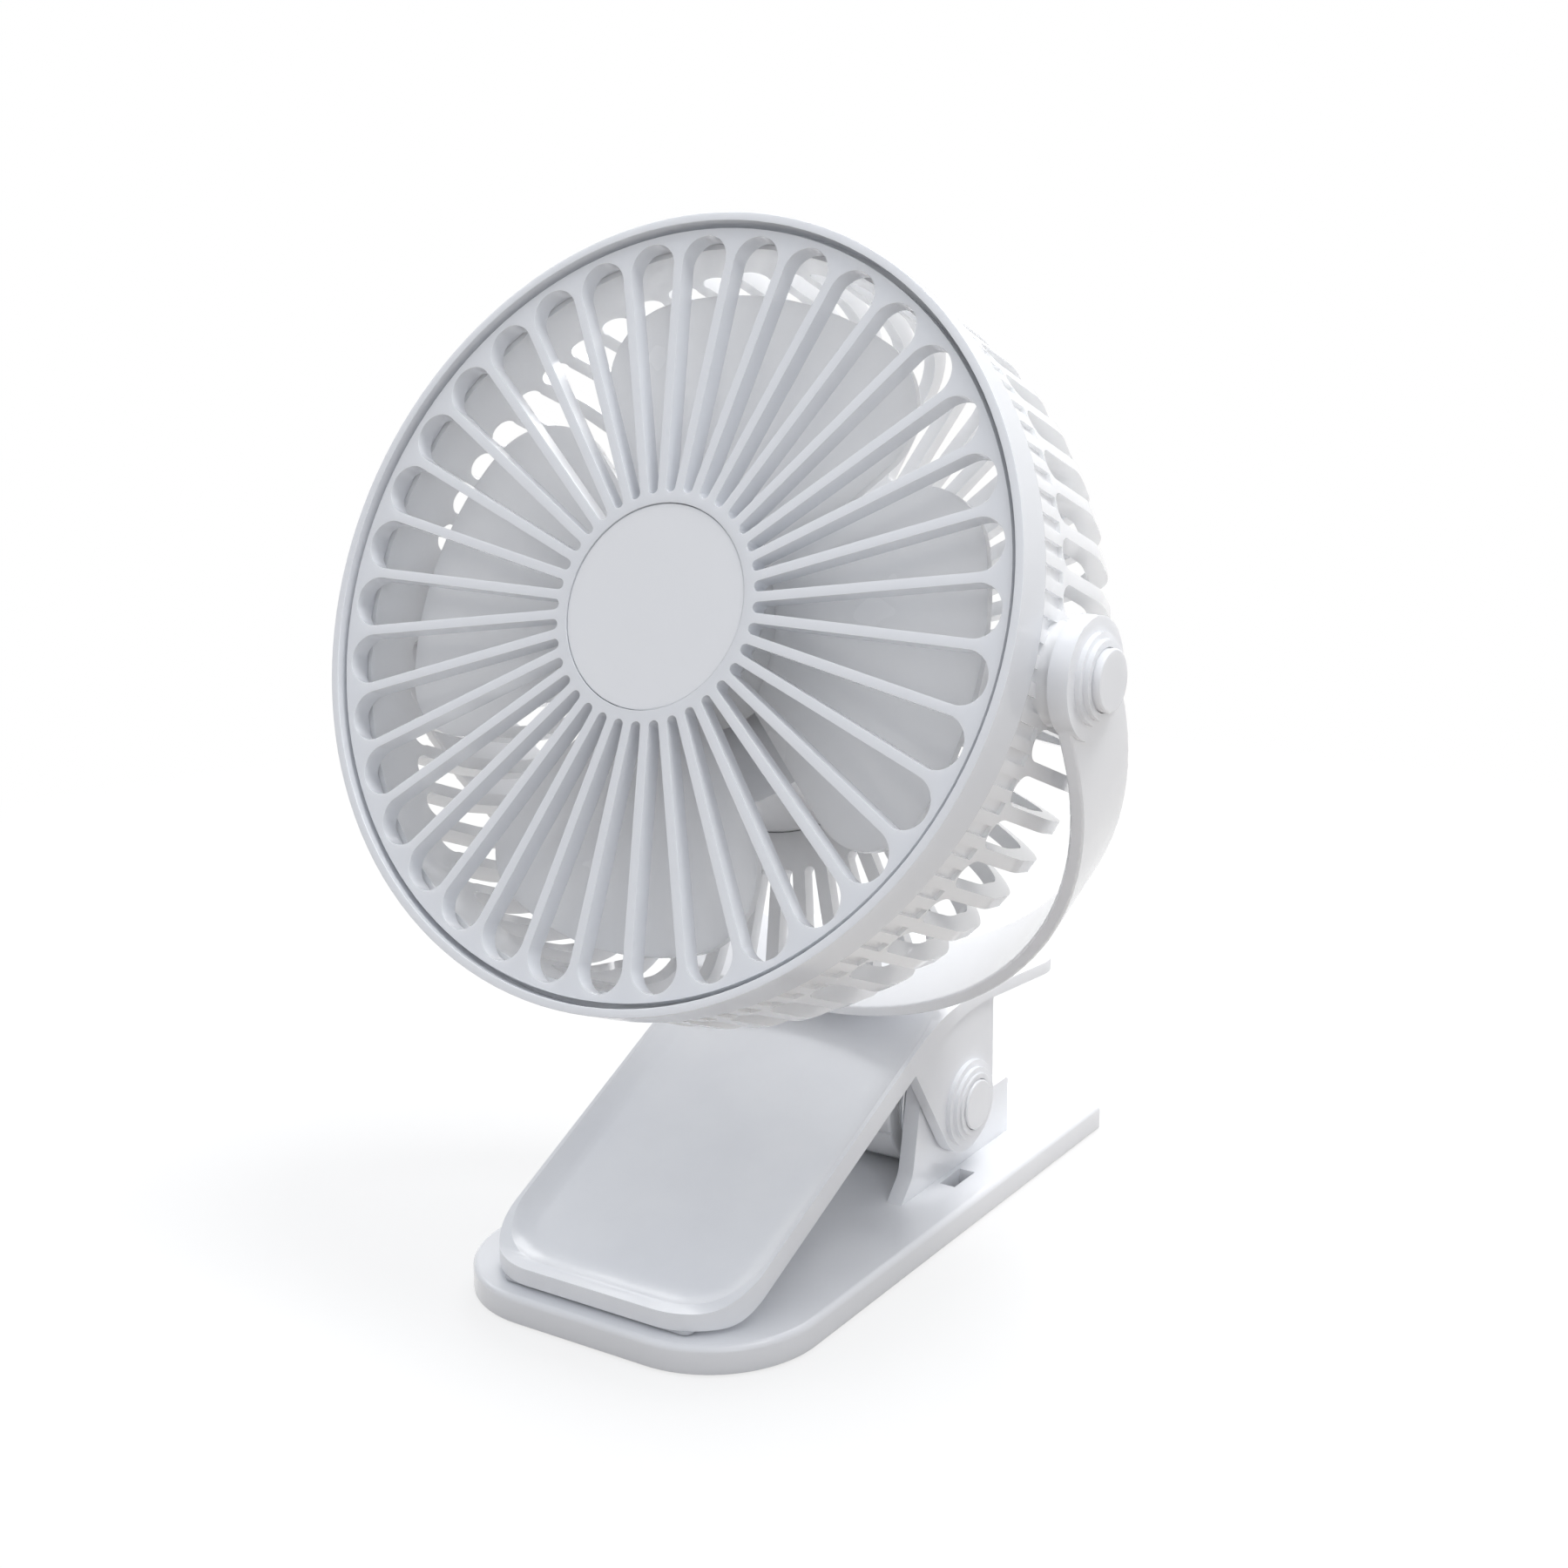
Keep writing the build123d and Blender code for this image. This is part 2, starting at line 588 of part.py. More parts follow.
def make_clip_arm():
    """Upper jaw and thumb lever in one moulding, with hinge cheeks and the yoke's boss."""
    pin_bore = HINGE_PIN_RADIUS + PIN_FIT
    cap_bore = HINGE_CAP_RADIUS + MOULD_FIT
    screw_depth = SCREW_SEAT_DROP + SWIVEL_SCREW_LENGTH + FACE_GAP - BOSS_DROP
    with BuildPart() as arm:
        extrude(arm_side(), amount=BASE_WIDTH / 2, both=True)
        extrude(arm_plan(0), amount=4 * HINGE_Z, mode=Mode.INTERSECT)
        add(make_scoop().part, mode=Mode.SUBTRACT)
        for side in (-1, 1):
            extrude(cheek_outline(side * CHEEK_INNER), amount=side * CHEEK_THICKNESS)
        side_rings(CHEEK_OUTER, RING_RADII, RING_HEIGHTS, HINGE_Y, HINGE_Z)
        side_bars(CHEEK_INNER, RING_FACE, HINGE_Y, HINGE_Z, pin_bore, Mode.SUBTRACT)
        side_bars(CHEEK_OUTER + FACE_GAP, RING_FACE, HINGE_Y, HINGE_Z, cap_bore, Mode.SUBTRACT)
        # Boss under the yoke's washer, with the swivel screw's blind bore.
        boss_face = SWIVEL.offset(-BOSS_DROP)
        extrude(disc(boss_face, SEAT_RADIUS), amount=SEAT_STAND - ARM_THICKNESS)
        screw_bore = disc(boss_face, SWIVEL_SCREW_RADIUS + PIN_FIT)
        extrude(screw_bore, amount=-screw_depth, mode=Mode.SUBTRACT)
    return arm


def make_jaw_pad():
    """Thin rubber strip under the clip arm's lip."""
    with BuildPart() as pad:
        with BuildSketch(Plane.XY.offset(BASE_TOP + SIDE_GAP)):
            with Locations((0, LIP_Y + SCOOP_RIM + JAW_PAD_LENGTH / 2)):
                RectangleRounded(JAW_PAD_WIDTH, JAW_PAD_LENGTH, JAW_PAD_LENGTH / 4)
        extrude(amount=JAW_PAD_THICKNESS)
    return pad


def side_cap(side, start, finish, y, z, radius):
    """Round cap with a soft outer edge, set into one side's rings."""
    with BuildPart() as cap:
        extrude(disc(across(side * start, y, z), radius), amount=side * (finish - start))
        outer_face = cap.faces().sort_by(Axis((0, 0, 0), (side, 0, 0)))[-1]
        fillet(outer_face.edges(), CAP_EDGE)
    return cap


def make_swivel_washer():
    """Slip washer between the yoke and the clip arm's boss."""
    with BuildPart() as washer:
        with BuildSketch(SWIVEL.offset(-BOSS_DROP)):
            Circle(WASHER_RADIUS)
            Circle(SWIVEL_SCREW_RADIUS + PIN_FIT, mode=Mode.SUBTRACT)
        extrude(amount=WASHER_THICKNESS)
    return washer


def make_swivel_screw():
    """Shoulder screw that the yoke swivels on, with its head inside the hoop."""
    seat = SWIVEL.offset(-SCREW_SEAT_DROP)
    with BuildPart() as screw:
        extrude(disc(seat, SWIVEL_HEAD_RADIUS), amount=SWIVEL_HEAD_THICKNESS)
        extrude(disc(seat, SWIVEL_SCREW_RADIUS), amount=-SWIVEL_SCREW_LENGTH)
    return screw


# ================================================================ yoke body
def make_yoke():
    """Hooped strap with a stepped ear at each end and a flat seat at the bottom."""
    leg_x = YOKE_RADIUS - YOKE_THICKNESS / 2
    pin_bore = TILT_PIN_RADIUS + PIN_FIT
    cap_bore = TILT_CAP_RADIUS + MOULD_FIT
    with BuildPart() as yoke:
        with BuildSketch(YOKE):
            with Locations((0, -YOKE_LEG)):
                Circle(YOKE_RADIUS)
                Circle(YOKE_INNER, mode=Mode.SUBTRACT)
                above = (Align.CENTER, Align.MIN)
                Rectangle(2 * YOKE_RADIUS, YOKE_RADIUS, align=above, mode=Mode.SUBTRACT)
                with GridLocations(2 * leg_x, 1, 2, 1):
                    Rectangle(YOKE_THICKNESS, YOKE_LEG, align=above)
        extrude(amount=YOKE_WIDTH / 2, both=True)
        rims = yoke.faces().filter_by(YOKE).edges()
        fillet(rims.filter_by(lambda edge: edge.length > 2 * YOKE_THICKNESS), YOKE_EDGE)
        side_bars(YOKE_INNER, YOKE_FACE, TILT_Y, TILT_Z, YOKE_EAR_RADIUS)
        side_rings(YOKE_FACE, YOKE_RING_RADII, YOKE_RING_HEIGHTS, TILT_Y, TILT_Z)
        side_bars(YOKE_INNER, YOKE_RING_FACE, TILT_Y, TILT_Z, pin_bore, Mode.SUBTRACT)
        side_bars(YOKE_FACE, YOKE_RING_FACE, TILT_Y, TILT_Z, cap_bore, Mode.SUBTRACT)
        # Swivel seat below the strap, and a flat for the screw's head above it.
        seat = SWIVEL.offset(-SEAT_DROP)
        extrude(disc(seat, SEAT_RADIUS), amount=SEAT_STAND + YOKE_THICKNESS / 2)
        screw_bore = disc(seat, SWIVEL_SCREW_RADIUS + PIN_FIT)
        extrude(screw_bore, amount=SEAT_STAND + YOKE_THICKNESS, mode=Mode.SUBTRACT)
        head_room = disc(SWIVEL.offset(YOKE_THICKNESS - YOKE_DROP), SWIVEL_HEAD_RADIUS + MOULD_FIT)
        extrude(head_room, amount=SWIVEL_HEAD_THICKNESS, mode=Mode.SUBTRACT)
    return yoke


def make_tilt_pin(side):
    """Pivot screw through the yoke's ear into the head's side boss."""
    seat = across(side * YOKE_FACE, TILT_Y, TILT_Z)
    with BuildPart() as pin:
        extrude(disc(seat, TILT_HEAD_RADIUS), amount=side * TILT_HEAD_THICKNESS)
        extrude(disc(seat, TILT_PIN_RADIUS), amount=-side * TILT_PIN_LENGTH)
    return pin


# ================================================================ head body
def make_front_bezel():
    """Outer ring of the head, with an inner ledge that the grille rests on."""
    ledge_inner = BEZEL_INNER - BEZEL_LEDGE_WIDTH
    with BuildPart() as bezel:
        with BuildSketch(PROFILE) as profile:
            with BuildLine():
                Polyline(
                    (BEZEL_INNER, HEAD_FRONT),
                    (HEAD_RADIUS, HEAD_FRONT),
                    (HEAD_RADIUS, BEZEL_BACK),
                    (BEZEL_INNER, BEZEL_BACK),
                    (BEZEL_INNER, LEDGE_BACK),
                    (ledge_inner, LEDGE_BACK),
                    (ledge_inner, GRILLE_BACK),
                    (BEZEL_INNER, GRILLE_BACK),
                    close=True,
                )
            make_face()
            fillet(profile.vertices().group_by(FAN_AXIS)[-1], BEZEL_EDGE)
        revolve(axis=FAN_AXIS)
    return bezel


def make_front_grille():
    """Round grille with radial slots between ribs of one width, and a sunk hub."""
    pitch = 360 / GRILLE_SLOTS
    with BuildPart() as grille:
        extrude(disc(HEAD.offset(GRILLE_BACK), GRILLE_RADIUS), amount=GRILLE_THICKNESS)
        with BuildSketch(HEAD.offset(GRILLE_BACK)):
            with PolarLocations(0, GRILLE_SLOTS, start_angle=pitch / 2):
                add(slot_face(pitch, GRILLE_RIB, SLOT_INNER, SLOT_OUTER))
        extrude(amount=GRILLE_THICKNESS, mode=Mode.SUBTRACT)
        recess = disc(HEAD.offset(GRILLE_FRONT), HUB_DISC_RADIUS + MOULD_FIT)
        extrude(recess, amount=-HUB_DISC_THICKNESS - HUB_DISC_SUNK, mode=Mode.SUBTRACT)
    return grille


def make_rear_cage():
    """Bowl behind the impeller: notched grip band, slotted wall and slotted back."""
    spigot = BEZEL_INNER - MOULD_FIT
    back = CAGE_RADIUS - CAGE_TAPER
    hub = HOUSING_RADIUS + MOULD_FIT
    pitch = 360 / CAGE_SLOTS
    end_radius = CAGE_RADIUS * sin(radians(pitch / 2)) - CAGE_RIB / 2
    end_height = CAGE_SLOT_FRONT - end_radius
    # The two slot places beside each tilt pivot stay solid and make the side webs.
    angles = [pitch * (step + 0.5) for step in range(CAGE_SLOTS)]
    angles = [angle for angle in angles if abs(sin(radians(angle))) > sin(radians(pitch))]
    with BuildPart() as cage:
        with BuildSketch(PROFILE):
            with BuildLine():
                outer = FilletPolyline(
                    (spigot, CAGE_TOP),
                    (spigot, CAGE_SHOULDER),
                    (CAGE_RADIUS, CAGE_SHOULDER),
                    (CAGE_RADIUS, -CAGE_STRAIGHT),
                    (back, -CAGE_BACK),
                    (hub, -CAGE_BACK),
                    radius=(0, 0, CAGE_BEND, CAGE_CORNER),
                )
                inner = FilletPolyline(
                    (hub, -CAGE_BACK + CAGE_WALL),
                    (back - CAGE_WALL, -CAGE_BACK + CAGE_WALL),
                    (spigot - CAGE_WALL, -CAGE_STRAIGHT),
                    (spigot - CAGE_WALL, CAGE_TOP),
                    radius=(CAGE_CORNER - CAGE_WALL, CAGE_BEND - CAGE_WALL),
                )
                Line(outer @ 1, inner @ 0)
                Line(inner @ 1, outer @ 0)
            make_face()
        revolve(axis=FAN_AXIS)
        slot = slot_face(pitch, CAGE_RIB, CAGE_SLOT_INNER, 2 * CAGE_RADIUS)
        with BuildSketch(HEAD.offset(-CAGE_BACK)):
            for angle in angles:
                with Locations(Location((0, 0, 0), (0, 0, angle))):
                    add(slot)
        extrude(amount=CAGE_BACK + end_height, mode=Mode.SUBTRACT)
        # Round front ends of the slots, cut outwards from just inside the wall.
        inside = spigot - 2 * CAGE_WALL
        outward = Location((inside, 0, end_height), (0, 90, 0))
        with BuildSketch(*[HEAD * Location((0, 0, 0), (0, 0, angle)) * outward for angle in angles]):
            Circle(end_radius)
        extrude(amount=HEAD_RADIUS - inside, mode=Mode.SUBTRACT)
        with BuildSketch(HEAD.offset(NOTCH_END)):
            with PolarLocations(CAGE_RADIUS, NOTCHES, start_angle=180 / NOTCHES):
                Rectangle(2 * NOTCH_DEPTH, NOTCH_WIDTH)
        extrude(amount=NOTCH_LENGTH, mode=Mode.SUBTRACT)
        # Bosses with blind bores for the tilt pivots, and bores for the housing's screws.
        pin_end = YOKE_FACE - TILT_PIN_LENGTH
        pin_bore = TILT_PIN_RADIUS + PIN_FIT
        side_bars(pin_end, YOKE_INNER - SIDE_GAP, TILT_Y, TILT_Z, SIDE_BOSS_RADIUS)
        side_bars(pin_end - FACE_GAP, YOKE_INNER, TILT_Y, TILT_Z, pin_bore, Mode.SUBTRACT)
        with BuildSketch(HEAD.offset(-CAGE_BACK)):
            with PolarLocations(SCREW_CIRCLE, SCREW_COUNT, start_angle=90):
                Circle(SCREW_RADIUS + PIN_FIT)
        extrude(amount=CAGE_WALL, mode=Mode.SUBTRACT)
    return cage


def make_motor_housing():
    """Cup behind the impeller that carries the motor and holds the battery."""
    with BuildPart() as housing:
        with BuildSketch(PROFILE):
            with BuildLine():
                Polyline(
                    (TUBE_RADIUS + PIN_FIT, HOUSING_FRONT),
                    (HOUSING_RADIUS, HOUSING_FRONT),
                    (HOUSING_RADIUS, -CAGE_BACK),
                    (FLANGE_RADIUS, -CAGE_BACK),
                    (FLANGE_RADIUS, COVER_INNER),
                    (HOUSING_RADIUS - HOUSING_WALL, COVER_INNER),
                    (HOUSING_RADIUS - HOUSING_WALL, CAVITY_FRONT),
                    (TUBE_RADIUS + PIN_FIT, CAVITY_FRONT),
                    close=True,
                )
            make_face()
        revolve(axis=FAN_AXIS)
        with BuildSketch(HEAD.offset(COVER_INNER)):
            with PolarLocations(SCREW_CIRCLE, SCREW_COUNT, start_angle=90):
                Circle(SCREW_RADIUS + PIN_FIT)
        extrude(amount=FLANGE_THICKNESS, mode=Mode.SUBTRACT)
    return housing


def make_rear_cover():
    """Round lid with the button's hole, the port's slot and posts for the board."""
    with BuildPart() as cover:
        extrude(disc(HEAD.offset(COVER_OUTER), FLANGE_RADIUS), amount=COVER_THICKNESS)
        fillet(cover.edges().sort_by(FAN_AXIS)[0], COVER_EDGE)
        with BuildSketch(HEAD.offset(COVER_INNER)):
            with Locations((0, -BOARD_DROP)):
                with GridLocations(BOARD_LENGTH - 2 * POST_INSET, BOARD_WIDTH - 2 * POST_INSET, 2, 2):
                    Circle(POST_RADIUS)
        extrude(amount=BOARD_STANDOFF)
        with BuildSketch(HEAD.offset(COVER_OUTER)):
            Circle(BUTTON_RADIUS + MOULD_FIT)
            with Locations((0, -PORT_DROP)):
                SlotOverall(PORT_WIDTH + 2 * MOULD_FIT, PORT_HEIGHT + 2 * MOULD_FIT)
            with PolarLocations(SCREW_CIRCLE, SCREW_COUNT, start_angle=90):
                Circle(SCREW_RADIUS + PIN_FIT)
        extrude(amount=COVER_THICKNESS, mode=Mode.SUBTRACT)
        with BuildSketch(HEAD.offset(COVER_OUTER)):
            with PolarLocations(SCREW_CIRCLE, SCREW_COUNT, start_angle=90):
                Circle(SCREW_HEAD_RADIUS + MOULD_FIT)
        extrude(amount=SCREW_HEAD_THICKNESS, mode=Mode.SUBTRACT)
    return cover


def make_housing_screws():
    """Screws that clamp the cover and the housing to the cage."""
    with BuildPart() as screws:
        with BuildSketch(HEAD.offset(COVER_OUTER)):
            with PolarLocations(SCREW_CIRCLE, SCREW_COUNT, start_angle=90):
                Circle(SCREW_HEAD_RADIUS)
        extrude(amount=SCREW_HEAD_THICKNESS)
        with BuildSketch(HEAD.offset(COVER_OUTER + SCREW_HEAD_THICKNESS)):
            with PolarLocations(SCREW_CIRCLE, SCREW_COUNT, start_angle=90):
                Circle(SCREW_RADIUS)
        extrude(amount=SCREW_LENGTH)
    return screws


def make_power_button():
    """Push button in the cover's centre, with a retaining collar and a stem."""
    with BuildPart() as button:
        outer = COVER_OUTER - BUTTON_STAND
        extrude(disc(HEAD.offset(outer), BUTTON_RADIUS), amount=BUTTON_STAND + COVER_THICKNESS)
        fillet(button.edges().sort_by(FAN_AXIS)[0], CAP_EDGE)
        collar = disc(HEAD.offset(COVER_INNER + FACE_GAP), BUTTON_RADIUS + BUTTON_COLLAR)
        extrude(collar, amount=BUTTON_COLLAR)
        switch_tip = BOARD_BACK - SWITCH_HEIGHT - BUTTON_TRAVEL
        stem = disc(HEAD.offset(COVER_INNER), BUTTON_STEM_RADIUS)
        extrude(stem, amount=switch_tip - BUTTON_TRAVEL - FACE_GAP - COVER_INNER)
    return button


def make_battery():
    """Flat rechargeable cell."""
    with BuildPart() as battery:
        with BuildSketch(HEAD.offset(FOAM_BACK)):
            RectangleRounded(BATTERY_LENGTH, BATTERY_WIDTH, BATTERY_THICKNESS / 3)
        extrude(amount=-BATTERY_THICKNESS)
    return battery


def make_battery_foam():
    """Foam pad that sticks the battery to the housing's front wall."""
    with BuildPart() as foam:
        with BuildSketch(HEAD.offset(FOAM_BACK)) as outline:
            Rectangle(FOAM_LENGTH, FOAM_WIDTH)
            Circle(TUBE_RADIUS + MOULD_FIT, mode=Mode.SUBTRACT)
        extrude(amount=FOAM_THICKNESS)
    return foam


def make_circuit_board():
    """Control board on the cover's posts."""
    with BuildPart() as board:
        with BuildSketch(HEAD.offset(BOARD_BACK)):
            with Locations((0, -BOARD_DROP)):
                Rectangle(BOARD_LENGTH, BOARD_WIDTH)
        extrude(amount=BOARD_THICKNESS)
    return board


def make_charging_port():
    """Socket that stands on the board and shows in the cover's slot."""
    with BuildPart() as port:
        with BuildSketch(HEAD.offset(BOARD_BACK)):
            with Locations((0, -PORT_DROP)):
                SlotOverall(PORT_WIDTH, PORT_HEIGHT)
        extrude(amount=COVER_OUTER - BOARD_BACK)
        with BuildSketch(HEAD.offset(COVER_OUTER)):
            with Locations((0, -PORT_DROP)):
                SlotOverall(PORT_WIDTH - 2 * PORT_WALL, PORT_HEIGHT - 2 * PORT_WALL)
                Rectangle(PORT_WIDTH - 4 * PORT_WALL, PORT_WALL, mode=Mode.SUBTRACT)
        extrude(amount=PORT_WIDTH - 2 * PORT_WALL, mode=Mode.SUBTRACT)
    return port


def make_button_switch():
    """Push switch on the board, behind the power button."""
    with BuildPart() as switch:
        with BuildSketch(HEAD.offset(BOARD_BACK)):
            Rectangle(SWITCH_SIDE, SWITCH_SIDE)
        extrude(amount=-SWITCH_HEIGHT)
        stem = disc(HEAD.offset(BOARD_BACK - SWITCH_HEIGHT), SWITCH_STEM_RADIUS)
        extrude(stem, amount=-BUTTON_TRAVEL)
    return switch


def make_motor_stator():
    """Laminated core with radial poles that spread at their tips."""
    pitch = 360 / STATOR_POLES
    with BuildPart() as stator:
        with BuildSketch(HEAD.offset(STATOR_BACK)):
            Circle(STATOR_RADIUS)
            Circle(STATOR_RADIUS - POLE_TIP, mode=Mode.SUBTRACT)
            with PolarLocations(STATOR_RADIUS, STATOR_POLES, start_angle=pitch / 2):
                Rectangle(4 * POLE_TIP, POLE_OPENING, mode=Mode.SUBTRACT)
            with PolarLocations(STATOR_RADIUS / 2, STATOR_POLES):
                Rectangle(STATOR_RADIUS - POLE_TIP, POLE_WIDTH)
            Circle(TUBE_RADIUS + STATOR_RING)
            Circle(TUBE_RADIUS + PIN_FIT, mode=Mode.SUBTRACT)
        extrude(amount=STATOR_LENGTH)
    return stator


def make_motor_windings():
    """Coil of wire round each pole of the stator."""
    start = TUBE_RADIUS + STATOR_RING + FACE_GAP
    length = STATOR_RADIUS - POLE_TIP - FACE_GAP - start
    with BuildPart() as windings:
        with BuildSketch(HEAD.offset(STATOR_BACK - COIL_THICKNESS)):
            with PolarLocations(start + length / 2, STATOR_POLES):
                Rectangle(length, POLE_WIDTH + COIL_THICKNESS)
        extrude(amount=STATOR_LENGTH + 2 * COIL_THICKNESS)
        with BuildSketch(HEAD.offset(STATOR_BACK)):
            with PolarLocations(start + length / 2, STATOR_POLES):
                Rectangle(length + 2 * FACE_GAP, POLE_WIDTH)
        extrude(amount=STATOR_LENGTH, mode=Mode.SUBTRACT)
    return windings


# ================================================================ impeller body
def blade_section(distance):
    """Cambered cross-section of a blade, on a plane that faces out from the fan's axis."""
    half = distance * tan(radians(BLADE_SPAN / 2))
    low = BLADE_BACK
    high = BLADE_BACK + BLADE_RISE
    middle = (low + high) / 2 + BLADE_CAMBER
    with BuildSketch(across(distance)) as section:
        with BuildLine():
            under = ThreePointArc((-half, low), (0, middle), (half, high))
            over = ThreePointArc(
                (-half, low + BLADE_THICKNESS),
                (0, middle + BLADE_THICKNESS),
                (half, high + BLADE_THICKNESS),
            )
            Line(under @ 0, over @ 0)
            Line(under @ 1, over @ 1)
        make_face()
    return section.sketch


def blade_petal():
    """Blade seen along the fan's axis: a sector with round tip corners."""
    root = HUB_RADIUS - HUB_WALL / 2
    run = cos(radians(BLADE_SPAN / 2))
    rise = sin(radians(BLADE_SPAN / 2))
    with BuildSketch() as petal:
        with BuildLine():
            inner = ThreePointArc((root * run, -root * rise), (root, 0), (root * run, root * rise))
            outer = ThreePointArc(
                (BLADE_TIP * run, -BLADE_TIP * rise),
                (BLADE_TIP, 0),
                (BLADE_TIP * run, BLADE_TIP * rise),
            )
            Line(inner @ 0, outer @ 0)
            Line(inner @ 1, outer @ 1)
        make_face()
        fillet(petal.vertices().group_by(Axis.X)[-1], BLADE_CORNER)
    return petal.sketch


def make_blade():
    """One wide blade along +X about the Z axis."""
    with BuildPart() as blade:
        loft([blade_section(HUB_RADIUS / 2), blade_section(BLADE_TIP)], ruled=True)
        extrude(blade_petal(), amount=HUB_FRONT + HUB_DEPTH, mode=Mode.INTERSECT)
    return blade


def make_impeller():
    """Hub cap with its wide blades."""
    blade = make_blade()
    hub_back = HUB_FRONT - HUB_DEPTH
    with BuildPart(HEAD) as impeller:
        with BuildSketch(PROFILE) as profile:
            with BuildLine():
                Polyline(
                    (0, HUB_FRONT),
                    (HUB_RADIUS, HUB_FRONT),
                    (HUB_RADIUS, hub_back),
                    (ROTOR_RADIUS, hub_back),
                    (ROTOR_RADIUS, ROTOR_FRONT),
                    (0, ROTOR_FRONT),
                    close=True,
                )
            make_face()
            fillet(profile.vertices().group_by(FAN_AXIS)[-1].sort_by(Axis.X)[-1], HUB_EDGE)
        revolve(axis=FAN_AXIS)
        with PolarLocations(0, BLADE_COUNT, start_angle=BLADE_PHASE):
            add(blade.part)
    return impeller


def make_rotor_cup():
    """Steel cup inside the hub, with a boss that grips the shaft."""
    cup_back = ROTOR_FRONT - ROTOR_LENGTH
    with BuildPart() as cup:
        with BuildSketch(PROFILE):
            with BuildLine():
                Polyline(
                    (SHAFT_RADIUS + PIN_FIT, ROTOR_FRONT),
                    (ROTOR_RADIUS - PIN_FIT, ROTOR_FRONT),
                    (ROTOR_RADIUS - PIN_FIT, cup_back),
                    (MAGNET_RADIUS, cup_back),
                    (MAGNET_RADIUS, MAGNET_FRONT),
                    (SHAFT_BOSS_RADIUS, MAGNET_FRONT),
                    (SHAFT_BOSS_RADIUS, SHAFT_BOSS_BACK),
                    (SHAFT_RADIUS + PIN_FIT, SHAFT_BOSS_BACK),
                    close=True,
                )
            make_face()
        revolve(axis=FAN_AXIS)
    return cup


# ================================================================ finished pieces
HINGE_CAP = (CHEEK_OUTER + FACE_GAP, RING_FACE + HINGE_CAP_STAND, HINGE_Y, HINGE_Z, HINGE_CAP_RADIUS)
TILT_CAP_SEAT = YOKE_FACE + TILT_HEAD_THICKNESS
TILT_CAP = (TILT_CAP_SEAT, TILT_CAP_SEAT + TILT_CAP_THICKNESS, TILT_Y, TILT_Z, TILT_CAP_RADIUS)
DISC_FRONT = GRILLE_FRONT - HUB_DISC_SUNK
BEARING_BORE = SHAFT_RADIUS + PIN_FIT

PIECES = {
    "base_plate": make_base_plate(),
    "base_pad": make_base_pad(),
    "hinge_pin": make_hinge_pin(),
    "spring_drum": make_spring_drum(),
    "clip_spring": make_clip_spring(),
    "clip_arm": make_clip_arm(),
    "jaw_pad": make_jaw_pad(),
    "hinge_cap_left": side_cap(-1, *HINGE_CAP),
    "hinge_cap_right": side_cap(1, *HINGE_CAP),
    "swivel_washer": make_swivel_washer(),
    "swivel_screw": make_swivel_screw(),
    "yoke": make_yoke(),
    "tilt_pin_left": make_tilt_pin(-1),
    "tilt_pin_right": make_tilt_pin(1),
    "tilt_cap_left": side_cap(-1, *TILT_CAP),
    "tilt_cap_right": side_cap(1, *TILT_CAP),
    "front_bezel": make_front_bezel(),
    "front_grille": make_front_grille(),
    "hub_disc": rod(HUB_DISC_RADIUS, DISC_FRONT - HUB_DISC_THICKNESS, DISC_FRONT),
    "rear_cage": make_rear_cage(),
    "motor_housing": make_motor_housing(),
    "rear_cover": make_rear_cover(),
    "housing_screws": make_housing_screws(),
    "power_button": make_power_button(),
    "battery": make_battery(),
    "battery_foam": make_battery_foam(),
    "circuit_board": make_circuit_board(),
    "charging_port": make_charging_port(),
    "button_switch": make_button_switch(),
    "motor_stator": make_motor_stator(),
    "motor_windings": make_motor_windings(),
    "bearing_tube": ring(BEARING_RADIUS + PIN_FIT, TUBE_RADIUS, CAVITY_FRONT, TUBE_FRONT),
    "rear_bearing": ring(BEARING_BORE, BEARING_RADIUS, CAVITY_FRONT, CAVITY_FRONT + BEARING_LENGTH),
    "front_bearing": ring(BEARING_BORE, BEARING_RADIUS, TUBE_FRONT - BEARING_LENGTH, TUBE_FRONT),
    "impeller": make_impeller(),
    "rotor_cup": make_rotor_cup(),
    "rotor_magnet": ring(MAGNET_INNER, MAGNET_RADIUS - PIN_FIT, MAGNET_BACK, MAGNET_FRONT),
    "motor_shaft": rod(SHAFT_RADIUS, CAVITY_FRONT, ROTOR_FRONT),
}
os.makedirs("parts", exist_ok=True)
for name, piece in PIECES.items():
    piece.part.label = name
    export_step(piece.part, f"parts/{name}.step")
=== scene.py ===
"""Clip fan: finishes, fine pieces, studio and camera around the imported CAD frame."""

import logging
import math
from collections.abc import Iterable
from dataclasses import dataclass, field, replace
from enum import Enum
from functools import lru_cache

import bmesh
import bpy
from mathutils import Matrix, Vector


